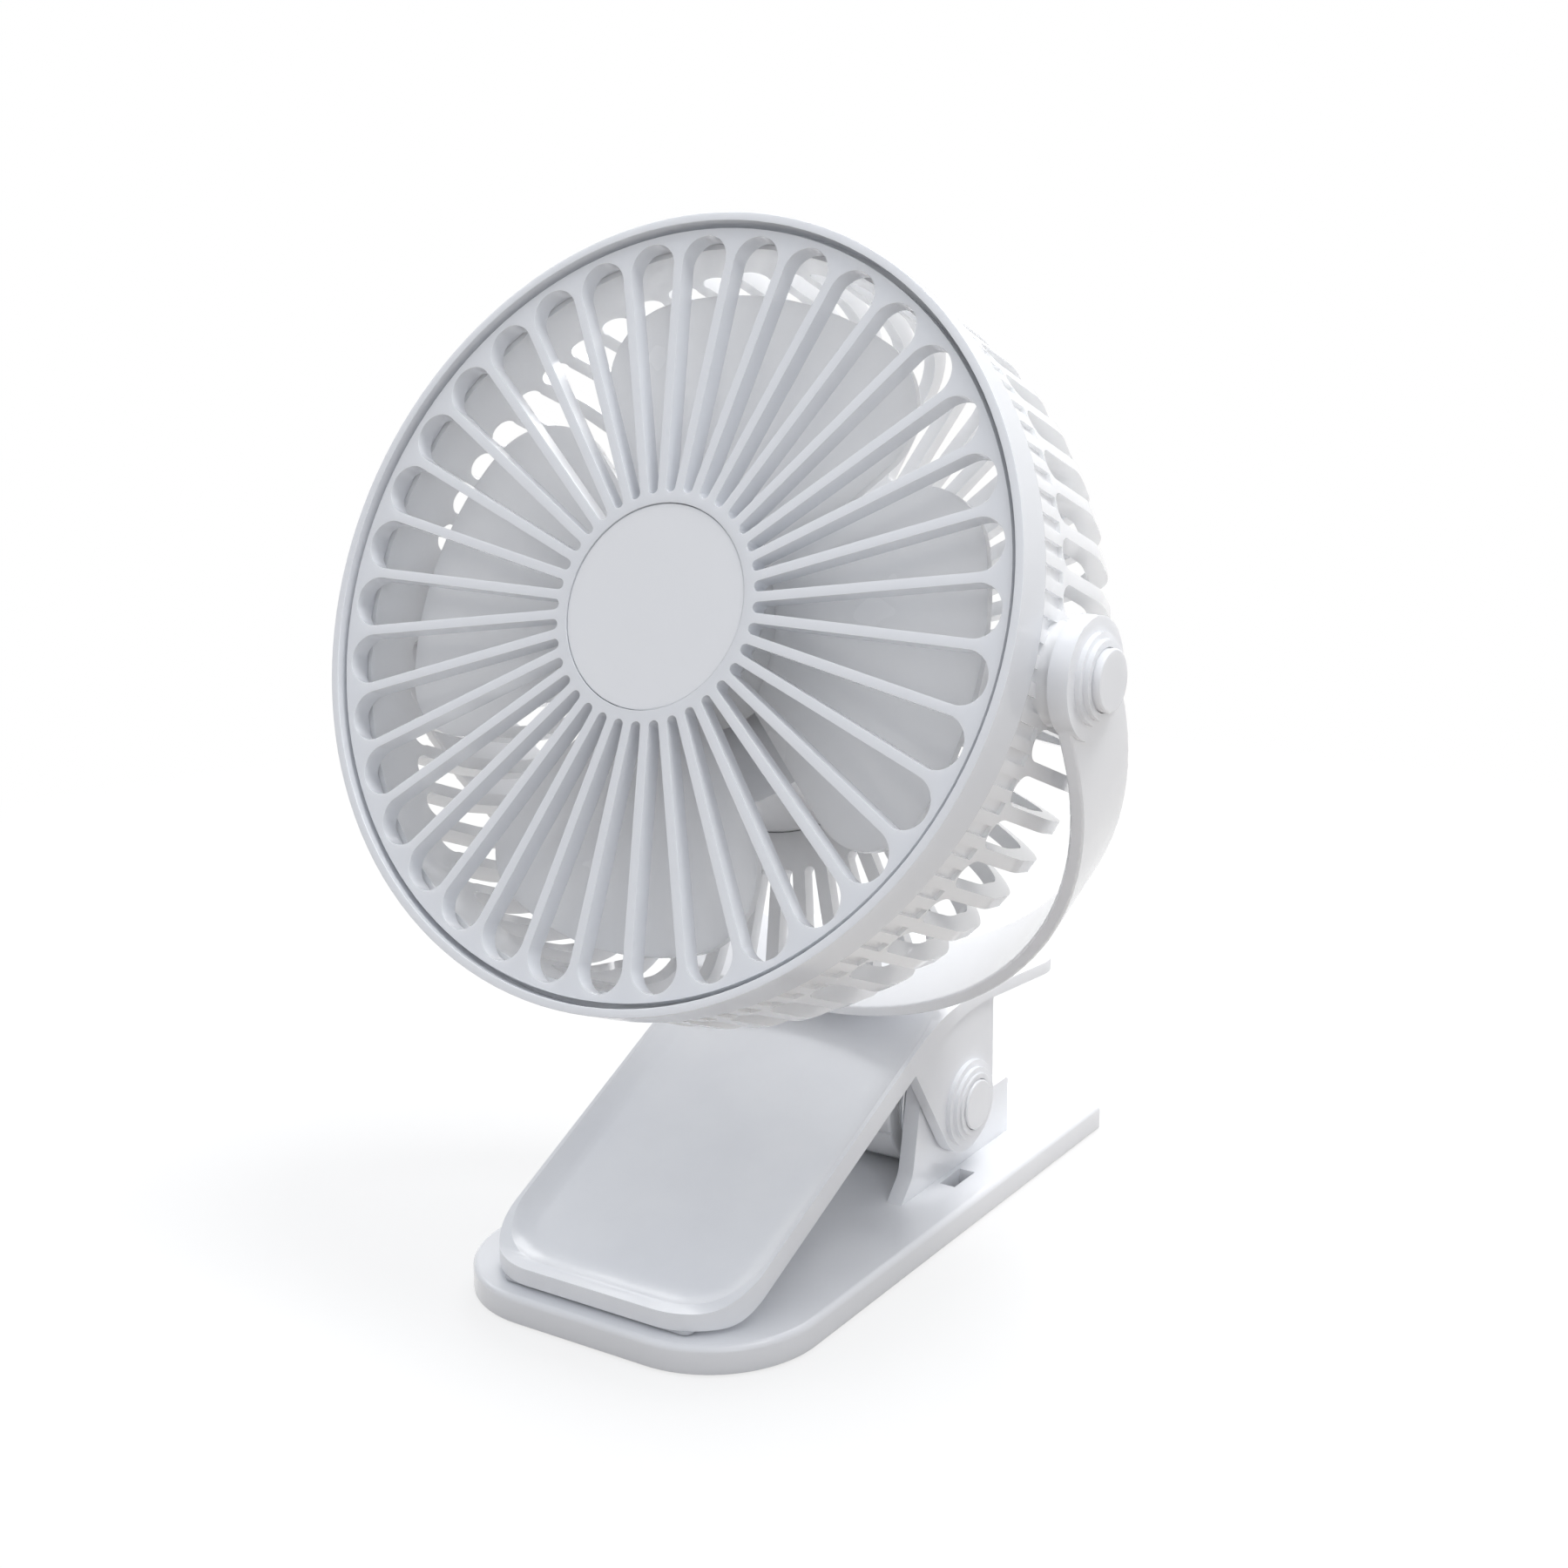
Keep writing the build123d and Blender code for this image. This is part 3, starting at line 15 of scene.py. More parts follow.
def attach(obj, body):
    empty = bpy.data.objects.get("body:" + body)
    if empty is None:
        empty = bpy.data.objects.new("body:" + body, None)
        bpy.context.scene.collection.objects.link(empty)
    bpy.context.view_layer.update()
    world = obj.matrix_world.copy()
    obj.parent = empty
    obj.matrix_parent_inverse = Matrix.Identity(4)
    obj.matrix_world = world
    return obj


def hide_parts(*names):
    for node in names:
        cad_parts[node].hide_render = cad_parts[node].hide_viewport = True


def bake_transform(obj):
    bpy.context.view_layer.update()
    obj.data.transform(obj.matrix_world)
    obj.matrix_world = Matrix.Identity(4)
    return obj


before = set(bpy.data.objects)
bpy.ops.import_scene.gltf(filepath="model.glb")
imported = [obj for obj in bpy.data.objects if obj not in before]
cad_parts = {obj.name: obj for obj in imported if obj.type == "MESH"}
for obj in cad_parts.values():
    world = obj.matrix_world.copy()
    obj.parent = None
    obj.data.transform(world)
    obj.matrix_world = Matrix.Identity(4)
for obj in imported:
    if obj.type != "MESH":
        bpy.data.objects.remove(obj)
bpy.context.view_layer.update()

LOG = logging.getLogger("clip_fan")
MM = 0.001

# The fan's axis points out of the grille and leans back by the head's pitch.
HEAD_CENTRE = Vector((0, -24.8, 127.6)) * MM
HEAD_PITCH = math.radians(23.2)
HEAD_TURN = math.radians(90) - HEAD_PITCH
HEAD_PLACE = Matrix.Translation(HEAD_CENTRE) @ Matrix.Rotation(HEAD_TURN, 4, "X")

# Noise layers of the cloudy patches and of the fine relief, and the gloss coat's roughness.
CLOUD_DETAIL = 3.0
FINE_DETAIL = 2.0
COAT_ROUGHNESS = 0.08

# Roundings of CAD nodes.
FACE_GAP = 0.01 * MM
FLAT_ANGLE = math.radians(0.4)
CORNER_ANGLE = math.radians(35)
CORNER_SEGMENTS = 3
SHADING_WEIGHT = 80

# New pieces.
DOUBLE_GAP = 0.001 * MM
SHARP_ANGLE = math.radians(40)

# The surroundings where they are seen.
PLAIN_WHITE = (1.0, 1.0, 1.0, 1.0)


class Grain(Enum):
    """Fine relief of a finish, as the stretch of its noise along X, Y and Z."""

    MOULDED = (1.0, 1.0, 1.0)
    TURNED = (0.06, 1.0, 1.0)
    DRAWN = (1.0, 1.0, 0.08)


class Edge(Enum):
    """How far the edges of a moulding or pressing are rounded, in metres."""

    CRISP = 0.12 * MM
    SOFT = 0.25 * MM
    ROUND = 0.45 * MM


@dataclass(frozen=True)
class Finish:
    """One surface finish, made by nodes on Object coordinates.

    Attributes:
        name: Name of the finish, which names its material.
        colour: Linear colour of the surface.
        cloud: Share by which cloudy patches are darker.
        cloud_size: Size of the patches in metres.
        roughness: Middle roughness.
        spread: How far the roughness varies either way.
        metallic: 1 for metal.
        coat: Weight of a clear gloss over the colour.
        grain: Direction of the fine relief.
        grain_size: Size of the fine relief in metres.
        grain_depth: Depth of the fine relief in metres.
        glow: Weight of light scattered under the surface.
        glow_depth: How far that light travels in metres.
    """

    name: str
    colour: tuple[float, float, float]
    cloud: float = 0.02
    cloud_size: float = 12 * MM
    roughness: float = 0.3
    spread: float = 0.04
    metallic: float = 0.0
    coat: float = 0.0
    grain: Grain = Grain.MOULDED
    grain_size: float = 0.5 * MM
    grain_depth: float = 0.004 * MM
    glow: float = 0.0
    glow_depth: float = 3 * MM

    def build(self) -> bpy.types.Material:
        """Make the material's nodes.

        Returns:
            The finished material.
        """
        material = bpy.data.materials.new(f"{self.name}_finish")
        material.use_nodes = True
        nodes, links = material.node_tree.nodes, material.node_tree.links
        shader = nodes["Principled BSDF"]
        shader.inputs["Metallic"].default_value = self.metallic
        shader.inputs["Coat Weight"].default_value = self.coat
        shader.inputs["Coat Roughness"].default_value = COAT_ROUGHNESS
        shader.inputs["Subsurface Weight"].default_value = self.glow
        shader.inputs["Subsurface Radius"].default_value = (1.0, 1.0, 1.0)
        shader.inputs["Subsurface Scale"].default_value = self.glow_depth
        place = nodes.new("ShaderNodeTexCoord")
        cloud = self._noise(nodes, links, place, self.cloud_size, Grain.MOULDED, CLOUD_DETAIL)
        shade = nodes.new("ShaderNodeMix")
        shade.data_type = "RGBA"
        shade.inputs["A"].default_value = (*self.colour, 1.0)
        darker = [part * (1 - self.cloud) for part in self.colour]
        shade.inputs["B"].default_value = (*darker, 1.0)
        links.new(cloud.outputs["Fac"], shade.inputs["Factor"])
        links.new(shade.outputs["Result"], shader.inputs["Base Color"])
        fine = self._noise(nodes, links, place, self.grain_size, self.grain, FINE_DETAIL)
        rough = nodes.new("ShaderNodeMapRange")
        rough.inputs["To Min"].default_value = self.roughness - self.spread
        rough.inputs["To Max"].default_value = self.roughness + self.spread
        links.new(cloud.outputs["Fac"], rough.inputs["Value"])
        links.new(rough.outputs["Result"], shader.inputs["Roughness"])
        bump = nodes.new("ShaderNodeBump")
        bump.inputs["Distance"].default_value = self.grain_depth
        links.new(fine.outputs["Fac"], bump.inputs["Height"])
        links.new(bump.outputs["Normal"], shader.inputs["Normal"])
        return material

    @staticmethod
    def _noise(
        nodes: bpy.types.Nodes,
        links: bpy.types.NodeLinks,
        place: bpy.types.Node,
        size: float,
        grain: Grain,
        detail: float,
    ) -> bpy.types.Node:
        """Add a noise of one size, stretched along the grain.

        Args:
            nodes: The material's nodes.
            links: The material's links.
            place: The texture coordinate node.
            size: Size of the pattern in metres.
            grain: Direction of the pattern.
            detail: Number of finer layers.

        Returns:
            The noise node.
        """
        mapping = nodes.new("ShaderNodeMapping")
        mapping.inputs["Scale"].default_value = [stretch / size for stretch in grain.value]
        noise = nodes.new("ShaderNodeTexNoise")
        noise.inputs["Scale"].default_value = 1.0
        noise.inputs["Detail"].default_value = detail
        links.new(place.outputs["Object"], mapping.inputs["Vector"])
        links.new(mapping.outputs["Vector"], noise.inputs["Vector"])
        return noise


WHITE_SHELL = Finish(
    "white_shell",
    (0.945, 0.955, 0.98),
    cloud=0.03,
    cloud_size=40 * MM,
    roughness=0.22,
    spread=0.03,
    coat=0.5,
    glow=0.35,
)
THIN_SHELL = replace(
    WHITE_SHELL, name="thin_shell", colour=(0.95, 0.955, 0.965), glow=0.5, glow_depth=4 * MM
)
# The white shell made darker for the front bezel and grille: painted shade of their front
# faces.
PAINTED_SHADE_FACE_SHELL = replace(WHITE_SHELL, name="painted_shade_face_shell", colour=(0.83, 0.845, 0.875))
DISHED_SHELL = replace(
    WHITE_SHELL,
    name="dished_shell",
    cloud=0.1,
    cloud_size=16 * MM,
    roughness=0.36,
    spread=0.1,
    coat=0.15,
)
GREY_SHELL = Finish("grey_shell", (0.97, 0.975, 0.985), roughness=0.14, coat=1.0, glow=0.9)
BLADE_PLASTIC = Finish(
    "blade_plastic",
    (0.97, 0.975, 0.985),
    cloud=0.1,
    cloud_size=22 * MM,
    roughness=0.24,
    spread=0.1,
    coat=0.3,
    glow=0.9,
    glow_depth=6 * MM,
)
SLIP_PLASTIC = Finish("slip_plastic", (0.78, 0.78, 0.74), roughness=0.45)
DARK_RUBBER = Finish(
    "dark_rubber",
    (0.02, 0.02, 0.022),
    cloud=0.3,
    roughness=0.75,
    grain_size=0.4 * MM,
    grain_depth=0.02 * MM,
)
CLEAR_RUBBER = Finish("clear_rubber", (0.55, 0.56, 0.58), roughness=0.6, grain_depth=0.01 * MM)
STEEL = Finish("steel", (0.56, 0.57, 0.58), roughness=0.3, metallic=1.0, grain=Grain.TURNED)
SPRING_STEEL = Finish(
    "spring_steel", (0.68, 0.69, 0.7), roughness=0.14, metallic=1.0, grain=Grain.DRAWN
)
COPPER = Finish(
    "copper", (0.62, 0.23, 0.09), cloud=0.25, cloud_size=1.5 * MM, roughness=0.32, metallic=1.0
)
MAGNET = Finish(
    "magnet",
    (0.035, 0.035, 0.038),
    cloud=0.3,
    roughness=0.55,
    metallic=0.4,
    grain_depth=0.02 * MM,
)
BOARD = Finish(
    "board", (0.01, 0.09, 0.035), cloud=0.25, cloud_size=3 * MM, roughness=0.35, coat=0.3
)
CELL_WRAP = Finish(
    "cell_wrap",
    (0.33, 0.35, 0.38),
    cloud=0.08,
    roughness=0.36,
    metallic=0.7,
    grain_size=1.5 * MM,
)
FOAM = Finish(
    "foam",
    (0.02, 0.02, 0.02),
    cloud=0.4,
    roughness=0.9,
    grain_size=0.3 * MM,
    grain_depth=0.05 * MM,
)


@lru_cache(maxsize=None)
def material_of(finish: Finish) -> bpy.types.Material:
    """Make a finish's material once.

    Args:
        finish: The finish.

    Returns:
        Its only material.
    """
    return finish.build()


def dress(node: str, finish: Finish, edge: Edge | None = None) -> None:
    """Give a CAD node its finish and, where it has moulded corners, rounded edges.

    Args:
        node: Name of the CAD node.
        finish: Its finish.
        edge: How far its sharp edges are rounded, or None to leave them.
    """
    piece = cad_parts[node]
    for holder in piece.material_slots:
        holder.material = material_of(finish)
    if edge:
        weld = piece.modifiers.new("joined_faces", "WELD")
        weld.merge_threshold = FACE_GAP
        flat = piece.modifiers.new("plain_flats", "DECIMATE")
        flat.decimate_type = "DISSOLVE"
        flat.angle_limit = FLAT_ANGLE
        round_modifier(piece, edge.value)
    LOG.info("dressed %s as %s", node, finish.name)


def round_modifier(piece: bpy.types.Object, width: float) -> None:
    """Round a piece's sharp edges and shade the roundings smoothly.

    Args:
        piece: The piece.
        width: Width of the roundings in metres.
    """
    bevel = piece.modifiers.new("rounded_edges", "BEVEL")
    bevel.width = width
    bevel.segments = CORNER_SEGMENTS
    bevel.limit_method = "ANGLE"
    bevel.angle_limit = CORNER_ANGLE
    shading = piece.modifiers.new("even_shading", "WEIGHTED_NORMAL")
    shading.weight = SHADING_WEIGHT


def add_shape(mesh: bmesh.types.BMesh, shape: bmesh.types.BMesh, place: Matrix) -> None:
    """Move a shape to its place and join it to a bmesh.

    Args:
        mesh: The bmesh that takes it.
        shape: The shape, which is freed.
        place: Its place.
    """
    bmesh.ops.transform(shape, matrix=place, verts=shape.verts)
    data = bpy.data.meshes.new("shape")
    shape.to_mesh(data)
    shape.free()
    mesh.from_mesh(data)
    bpy.data.meshes.remove(data)


def sweep_rings(
    mesh: bmesh.types.BMesh,
    rim: list[bmesh.types.BMEdge],
    width: float,
    rings: list[tuple[float, float]],
    closed: bool = False,
) -> None:
    """Carry a rim of edges down the Z axis through rings of given widths.

    Args:
        mesh: The bmesh that holds the rim.
        rim: The rim's edges, round the Z axis.
        width: The rim's width.
        rings: Width of each ring and how far it lies below the one before.
        closed: Whether a face closes the last ring.
    """
    for ring_width, drop in rings:
        made = bmesh.ops.extrude_edge_only(mesh, edges=rim)["geom"]
        verts = [item for item in made if isinstance(item, bmesh.types.BMVert)]
        rim = [item for item in made if isinstance(item, bmesh.types.BMEdge)]
        rim = [edge for edge in rim if edge.is_boundary]
        share = ring_width / width
        bmesh.ops.scale(mesh, verts=verts, vec=(share, share, 1.0))
        bmesh.ops.translate(mesh, verts=verts, vec=(0, 0, -drop))
        width = ring_width
    if closed:
        bmesh.ops.contextual_create(mesh, geom=rim)


def finish_piece(
    name: str, mesh: bmesh.types.BMesh, finish: Finish, body: str | None = None
) -> bpy.types.Object:
    """Turn a bmesh into a piece.

    Args:
        name: Name of the piece.
        mesh: Its bmesh, in the part's coordinates at rest, which is freed.
        finish: Its finish.
        body: The CAD body that carries it, or None to leave it unattached.

    Returns:
        The piece's object.
    """
    bmesh.ops.remove_doubles(mesh, verts=mesh.verts, dist=DOUBLE_GAP)
    bmesh.ops.recalc_face_normals(mesh, faces=mesh.faces)
    data = bpy.data.meshes.new(name)
    mesh.to_mesh(data)
    mesh.free()
    data.shade_smooth()
    data.set_sharp_from_angle(angle=SHARP_ANGLE)
    piece = bpy.data.objects.new(name, data)
    bpy.context.scene.collection.objects.link(piece)
    data.materials.append(material_of(finish))
    if body:
        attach(piece, body)
    LOG.info("made %s with %d faces", name, len(data.polygons))
    return piece


@dataclass
class ClampBase:
    """Base plate with its pad, hinge pin, drum and spring.

    Attributes:
        plate_edge: Rounding of the base plate's edges.
        spring_still: Point up to which the spring stays with the base. Not used.
        spring_moved: Point from which the spring follows the clip arm. Not used.
    """

    plate_edge: Edge = Edge.SOFT
    spring_still: Vector = field(default_factory=lambda: Vector((0, 22.9, 21.4)) * MM)
    spring_moved: Vector = field(default_factory=lambda: Vector((0, 22.9, 28.4)) * MM)

    def build(self) -> None:
        """Dress the base's pieces."""
        dress("base_plate", WHITE_SHELL, self.plate_edge)
        dress("base_pad", DARK_RUBBER, Edge.SOFT)
        dress("hinge_pin", STEEL, Edge.SOFT)
        dress("spring_drum", GREY_SHELL)
        self._spring()

    def _spring(self) -> None:
        """Copy the CAD spring into a piece of its own and hide the CAD node."""
        mesh = bmesh.new()
        mesh.from_mesh(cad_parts["clip_spring"].data)
        spring = finish_piece("bending_spring", mesh, SPRING_STEEL)
        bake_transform(spring)
        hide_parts("clip_spring")


@dataclass
class ClipArm:
    """Upper jaw with its lever, hinge caps and the yoke's screw."""

    arm_edge: Edge = Edge.ROUND

    def build(self) -> None:
        """Dress the clip arm's pieces."""
        dress("clip_arm", DISHED_SHELL, self.arm_edge)
        dress("jaw_pad", CLEAR_RUBBER, Edge.SOFT)
        for side in ("left", "right"):
            dress(f"hinge_cap_{side}", WHITE_SHELL)
        dress("swivel_washer", SLIP_PLASTIC, Edge.CRISP)
        dress("swivel_screw", STEEL, Edge.SOFT)


@dataclass
class Yoke:
    """Hoop with its tilt pins and caps."""

    strap_edge: Edge = Edge.SOFT

    def build(self) -> None:
        """Dress the yoke's pieces."""
        dress("yoke", WHITE_SHELL, self.strap_edge)
        for side in ("left", "right"):
            dress(f"tilt_pin_{side}", STEEL, Edge.SOFT)
            dress(f"tilt_cap_{side}", WHITE_SHELL)


@dataclass
class CoverScrews:
    """Cross-head screws that hold the rear cover.

    Attributes:
        count: Number of screws.
        circle: Radius of the circle they stand on.
        head_face: Height of their heads' faces along the fan's axis.
        head_radius: Radius of a head.
        head_depth: Thickness of a head.
        shank_radius: Radius of the thread's crests.
        core_radius: Radius of the thread's roots.
        shank_length: Length below the head.
        threads: Number of crests.
        cross_width: Width of the cross recess.
        cross_length: Length of the cross recess.
        cross_depth: Depth of the cross recess.
        cross_taper: Share to which the recess narrows at its floor.
        first_angle: Angle of the first screw, in degrees from the right.
        segments: Sides of a head's circle.
        cut_gap: Distance below which a cut keeps a point where it is.
    """

    count: int = 3
    circle: float = 36.9 * MM
    head_face: float = -35.6 * MM
    head_radius: float = 2.2 * MM
    head_depth: float = 1.1 * MM
    shank_radius: float = 1.2 * MM
    core_radius: float = 0.9 * MM
    shank_length: float = 4.6 * MM
    threads: int = 6
    cross_width: float = 0.55 * MM
    cross_length: float = 2.5 * MM
    cross_depth: float = 0.75 * MM
    cross_taper: float = 0.8
    first_angle: float = 90.0
    segments: int = 32
    cut_gap: float = 0.0001 * MM

    def build(self) -> None:
        """Make the screws in one piece."""
        mesh = bmesh.new()
        for step in range(self.count):
            angle = math.radians(self.first_angle + step * 360 / self.count)
            across, up = self.circle * math.cos(angle), self.circle * math.sin(angle)
            place = Matrix.Translation((across, up, self.head_face))
            turn = Matrix.Rotation(angle, 4, "Z") @ Matrix.Rotation(math.pi, 4, "X")
            add_shape(mesh, self._screw(), HEAD_PLACE @ place @ turn)
        piece = finish_piece("cover_screws", mesh, STEEL, "head")
        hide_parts("housing_screws")

    def _screw(self) -> bmesh.types.BMesh:
        """Make one screw with its head's face at the origin, looking up.

        Returns:
            The screw's bmesh.
        """
        screw = bmesh.new()
        bmesh.ops.create_circle(
            screw, cap_ends=True, radius=self.head_radius, segments=self.segments
        )
        narrow, wide = self.cross_width / 2, self.cross_length / 2
        for axis in (Vector((1, 0, 0)), Vector((0, 1, 0))):
            for offset in (-wide, -narrow, narrow, wide):
                bmesh.ops.bisect_plane(
                    screw,
                    geom=screw.verts[:] + screw.edges[:] + screw.faces[:],
                    plane_co=axis * offset,
                    plane_no=axis,
                    dist=self.cut_gap,
                )
        rim = [edge for edge in screw.edges if edge.is_boundary]
        cross = []
        for face in screw.faces:
            near, far = sorted(abs(value) for value in face.calc_center_median().xy)
            if near < narrow and far < wide:
                cross.append(face)
        sunk = bmesh.ops.extrude_face_region(screw, geom=cross)["geom"]
        floor = [item for item in sunk if isinstance(item, bmesh.types.BMVert)]
        bmesh.ops.translate(screw, verts=floor, vec=(0, 0, -self.cross_depth))
        bmesh.ops.scale(screw, verts=floor, vec=(self.cross_taper, self.cross_taper, 1.0))
        bmesh.ops.delete(screw, geom=cross, context="FACES")
        pitch = self.shank_length / self.threads
        rings = [(self.head_radius, self.head_depth), (self.shank_radius, 0.0)]
        for _ in range(self.threads):
            rings += [(self.core_radius, pitch / 2), (self.shank_radius, pitch / 2)]
        sweep_rings(screw, rim, self.head_radius, rings, closed=True)
        return screw


@dataclass
class HeadShell:
    """Bezel, grille, cage, housing, cover and button."""

    rim_edge: Edge = Edge.CRISP
    rib_edge: Edge = Edge.SOFT

    def build(self) -> None:
        """Dress the head's shells."""
        # The bezel and grille take the darker copy of the white shell, with painted shade of
        # their front faces.
        dress("front_bezel", PAINTED_SHADE_FACE_SHELL, self.rim_edge)
        dress("front_grille", PAINTED_SHADE_FACE_SHELL, self.rim_edge)
        dress("hub_disc", WHITE_SHELL, self.rib_edge)
        dress("rear_cage", THIN_SHELL, self.rib_edge)
        dress("motor_housing", WHITE_SHELL, self.rib_edge)
        dress("rear_cover", WHITE_SHELL, self.rib_edge)
        dress("power_button", GREY_SHELL)


@dataclass(frozen=True)
class Block:
    """Small rounded block on the control board.

    Attributes:
        place: Its middle on the board, across and up, in metres.
        size: Its width, height and thickness in metres.
    """

    place: tuple[float, float]
    size: tuple[float, float, float]


@dataclass
class Electrics:
    """Battery, control board, charging socket, switch and the board's small parts.

    Attributes:
        board_front: Height of the board's front face along the fan's axis.
        board_drop: How far the board's middle lies below the axis.
        chip: The controller's body.
        legs: Number of the chip's legs on each side.
        leg: A leg's width, length and thickness.
        leg_corner: Rounding of the legs.
        plug: The battery's connector.
        chokes: Ferrite bodies of the two coils.
        passives: The small resistors and capacitors.
        corner: Rounding of the blocks.
    """

    board_front: float = -24.0 * MM
    board_drop: float = 6.5 * MM
    chip: Block = Block((-4.0 * MM, 1.0 * MM), (5.0 * MM, 6.2 * MM, 1.5 * MM))
    legs: int = 5
    leg: tuple[float, float, float] = (0.4 * MM, 1.1 * MM, 0.2 * MM)
    leg_corner: float = 0.05 * MM
    plug: Block = Block((12.0 * MM, 7.0 * MM), (6.0 * MM, 4.6 * MM, 4.0 * MM))
    chokes: tuple[Block, ...] = (
        Block((5.0 * MM, -6.0 * MM), (5.2 * MM, 5.2 * MM, 2.6 * MM)),
        Block((12.5 * MM, -6.0 * MM), (4.2 * MM, 4.2 * MM, 2.2 * MM)),
    )
    passives: tuple[Block, ...] = tuple(
        Block((across * MM, up * MM), (1.9 * MM, 1.2 * MM, 0.7 * MM))
        for across, up in (
            (-13.0, 6.0),
            (-13.0, 3.5),
            (-13.0, 1.0),
            (-13.0, -5.0),
            (-10.0, -8.0),
            (-6.0, -8.0),
            (1.5, 6.5),
            (1.5, 4.0),
            (5.0, 7.5),
            (5.0, 1.0),
        )
    )
    corner: float = 0.18 * MM

    def build(self) -> None:
        """Dress the electric pieces and make the board's small parts."""
        self._blocks("board_chips", FOAM, (self.chip, *self.chokes), self.corner)
        self._blocks("board_passives", SLIP_PLASTIC, self.passives, self.corner)
        self._blocks("battery_socket", SLIP_PLASTIC, (self.plug,), self.corner)
        self._blocks("chip_legs", STEEL, self._legs(), self.leg_corner)
        dress("battery", CELL_WRAP, Edge.ROUND)
        dress("battery_foam", FOAM, Edge.SOFT)
        dress("circuit_board", BOARD, Edge.CRISP)
        dress("charging_port", STEEL, Edge.CRISP)
        dress("button_switch", FOAM, Edge.SOFT)

    def _legs(self) -> list[Block]:
        """Place the chip's legs along its two sides.

        Returns:
            The legs.
        """
        width, length, thickness = self.leg
        side = (self.chip.size[0] + length) / 2
        pitch = self.chip.size[1] / self.legs
        blocks = []
        for step in range(self.legs):
            up = self.chip.place[1] + (step - (self.legs - 1) / 2) * pitch
            for sense in (-1, 1):
                place = (self.chip.place[0] + sense * side, up)
                blocks.append(Block(place, (length, width, thickness)))
        return blocks

    def _blocks(
        self, name: str, finish: Finish, blocks: Iterable[Block], corner: float
    ) -> None:
        """Make one piece of rounded blocks on the board's front face.

        Args:
            name: Name of the piece.
            finish: Its finish.
            blocks: The blocks.
            corner: Their rounding.
        """
        mesh = bmesh.new()
        for block in blocks:
            solid = bmesh.new()
            bmesh.ops.create_cube(solid, size=1.0)
            bmesh.ops.scale(solid, verts=solid.verts, vec=block.size)
            bmesh.ops.bevel(
                solid,
                geom=solid.edges[:],
                affect="EDGES",
                offset=corner,
                segments=2,
                profile=0.5,
                material=-1,
            )
            across, up = block.place
            height = self.board_front + block.size[2] / 2
            place = Matrix.Translation((across, up - self.board_drop, height))
            add_shape(mesh, solid, HEAD_PLACE @ place)
        finish_piece(name, mesh, finish, "head")


@dataclass
class Motor:
    """Stator, windings, bearings and rotor.

    Attributes:
        poles: Number of coils.
        coil_start: Distance of a coil's inner end from the axis.
        coil_length: Length of a coil along its pole.
        coil_middle: Height of the coils' middle along the fan's axis.
        coil_width: Width of a coil across the axis.
        coil_height: Height of a coil along the axis.
        coil_corner: Radius of a coil's corners.
        coil_wall: Thickness of a coil's winding.
        turns: Turns of wire side by side on a coil.
        wire_relief: Share by which a coil is narrower between two turns.
    """

    poles: int = 9
    coil_start: float = 7.7 * MM
    coil_length: float = 5.7 * MM
    coil_middle: float = 6.6 * MM
    coil_width: float = 3.2 * MM
    coil_height: float = 7.4 * MM
    coil_corner: float = 0.9 * MM
    coil_wall: float = 0.5 * MM
    turns: int = 12
    wire_relief: float = 0.07

    def build(self) -> None:
        """Dress the motor's pieces and wind the coils."""
        mesh = bmesh.new()
        for step in range(self.poles):
            turn = Matrix.Rotation(2 * math.pi * step / self.poles, 4, "Z")
            place = Matrix.Translation((self.coil_start, 0, self.coil_middle))
            stand = Matrix.Rotation(math.radians(-90), 4, "Y")
            add_shape(mesh, self._coil(), HEAD_PLACE @ turn @ place @ stand)
        windings = finish_piece("wound_coils", mesh, COPPER, "head")
        wall = windings.modifiers.new("winding_wall", "SOLIDIFY")
        wall.thickness = self.coil_wall
        wall.offset = -1.0
        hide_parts("motor_windings")
        dress("motor_stator", STEEL, Edge.CRISP)
        dress("bearing_tube", COPPER, Edge.CRISP)
        dress("rear_bearing", STEEL, Edge.SOFT)
        dress("front_bearing", STEEL, Edge.SOFT)
        dress("rotor_cup", STEEL, Edge.SOFT)
        dress("rotor_magnet", MAGNET, Edge.CRISP)
        dress("motor_shaft", STEEL, Edge.SOFT)

    def _coil(self) -> bmesh.types.BMesh:
        """Make one coil's outer skin, standing on the origin, with a ridge for each turn.

        Returns:
            The coil's bmesh.
        """
        coil = bmesh.new()
        # A square with sides of one metre, scaled to the coil's section.
        bmesh.ops.create_circle(coil, radius=math.sqrt(0.5), segments=4)
        square = Matrix.Rotation(math.radians(45), 3, "Z")
        bmesh.ops.rotate(coil, verts=coil.verts, matrix=square)
        section = (self.coil_height, self.coil_width, 1.0)
        bmesh.ops.scale(coil, verts=coil.verts, vec=section)
        bmesh.ops.bevel(
            coil,
            geom=coil.verts[:],
            affect="VERTICES",
            offset=self.coil_corner,
            segments=3,
            profile=0.5,
            material=-1,
        )
        step = self.coil_length / (2 * self.turns)
        turn = [(1.0, step), (1.0 - self.wire_relief, step)]
        sweep_rings(coil, coil.edges[:], 1.0, turn * self.turns)
        return coil


@dataclass
class Impeller:
    """Hub cap with its blades."""

    blade_edge: Edge = Edge.ROUND

    def build(self) -> None:
        """Dress the impeller."""
        dress("impeller", BLADE_PLASTIC, self.blade_edge)


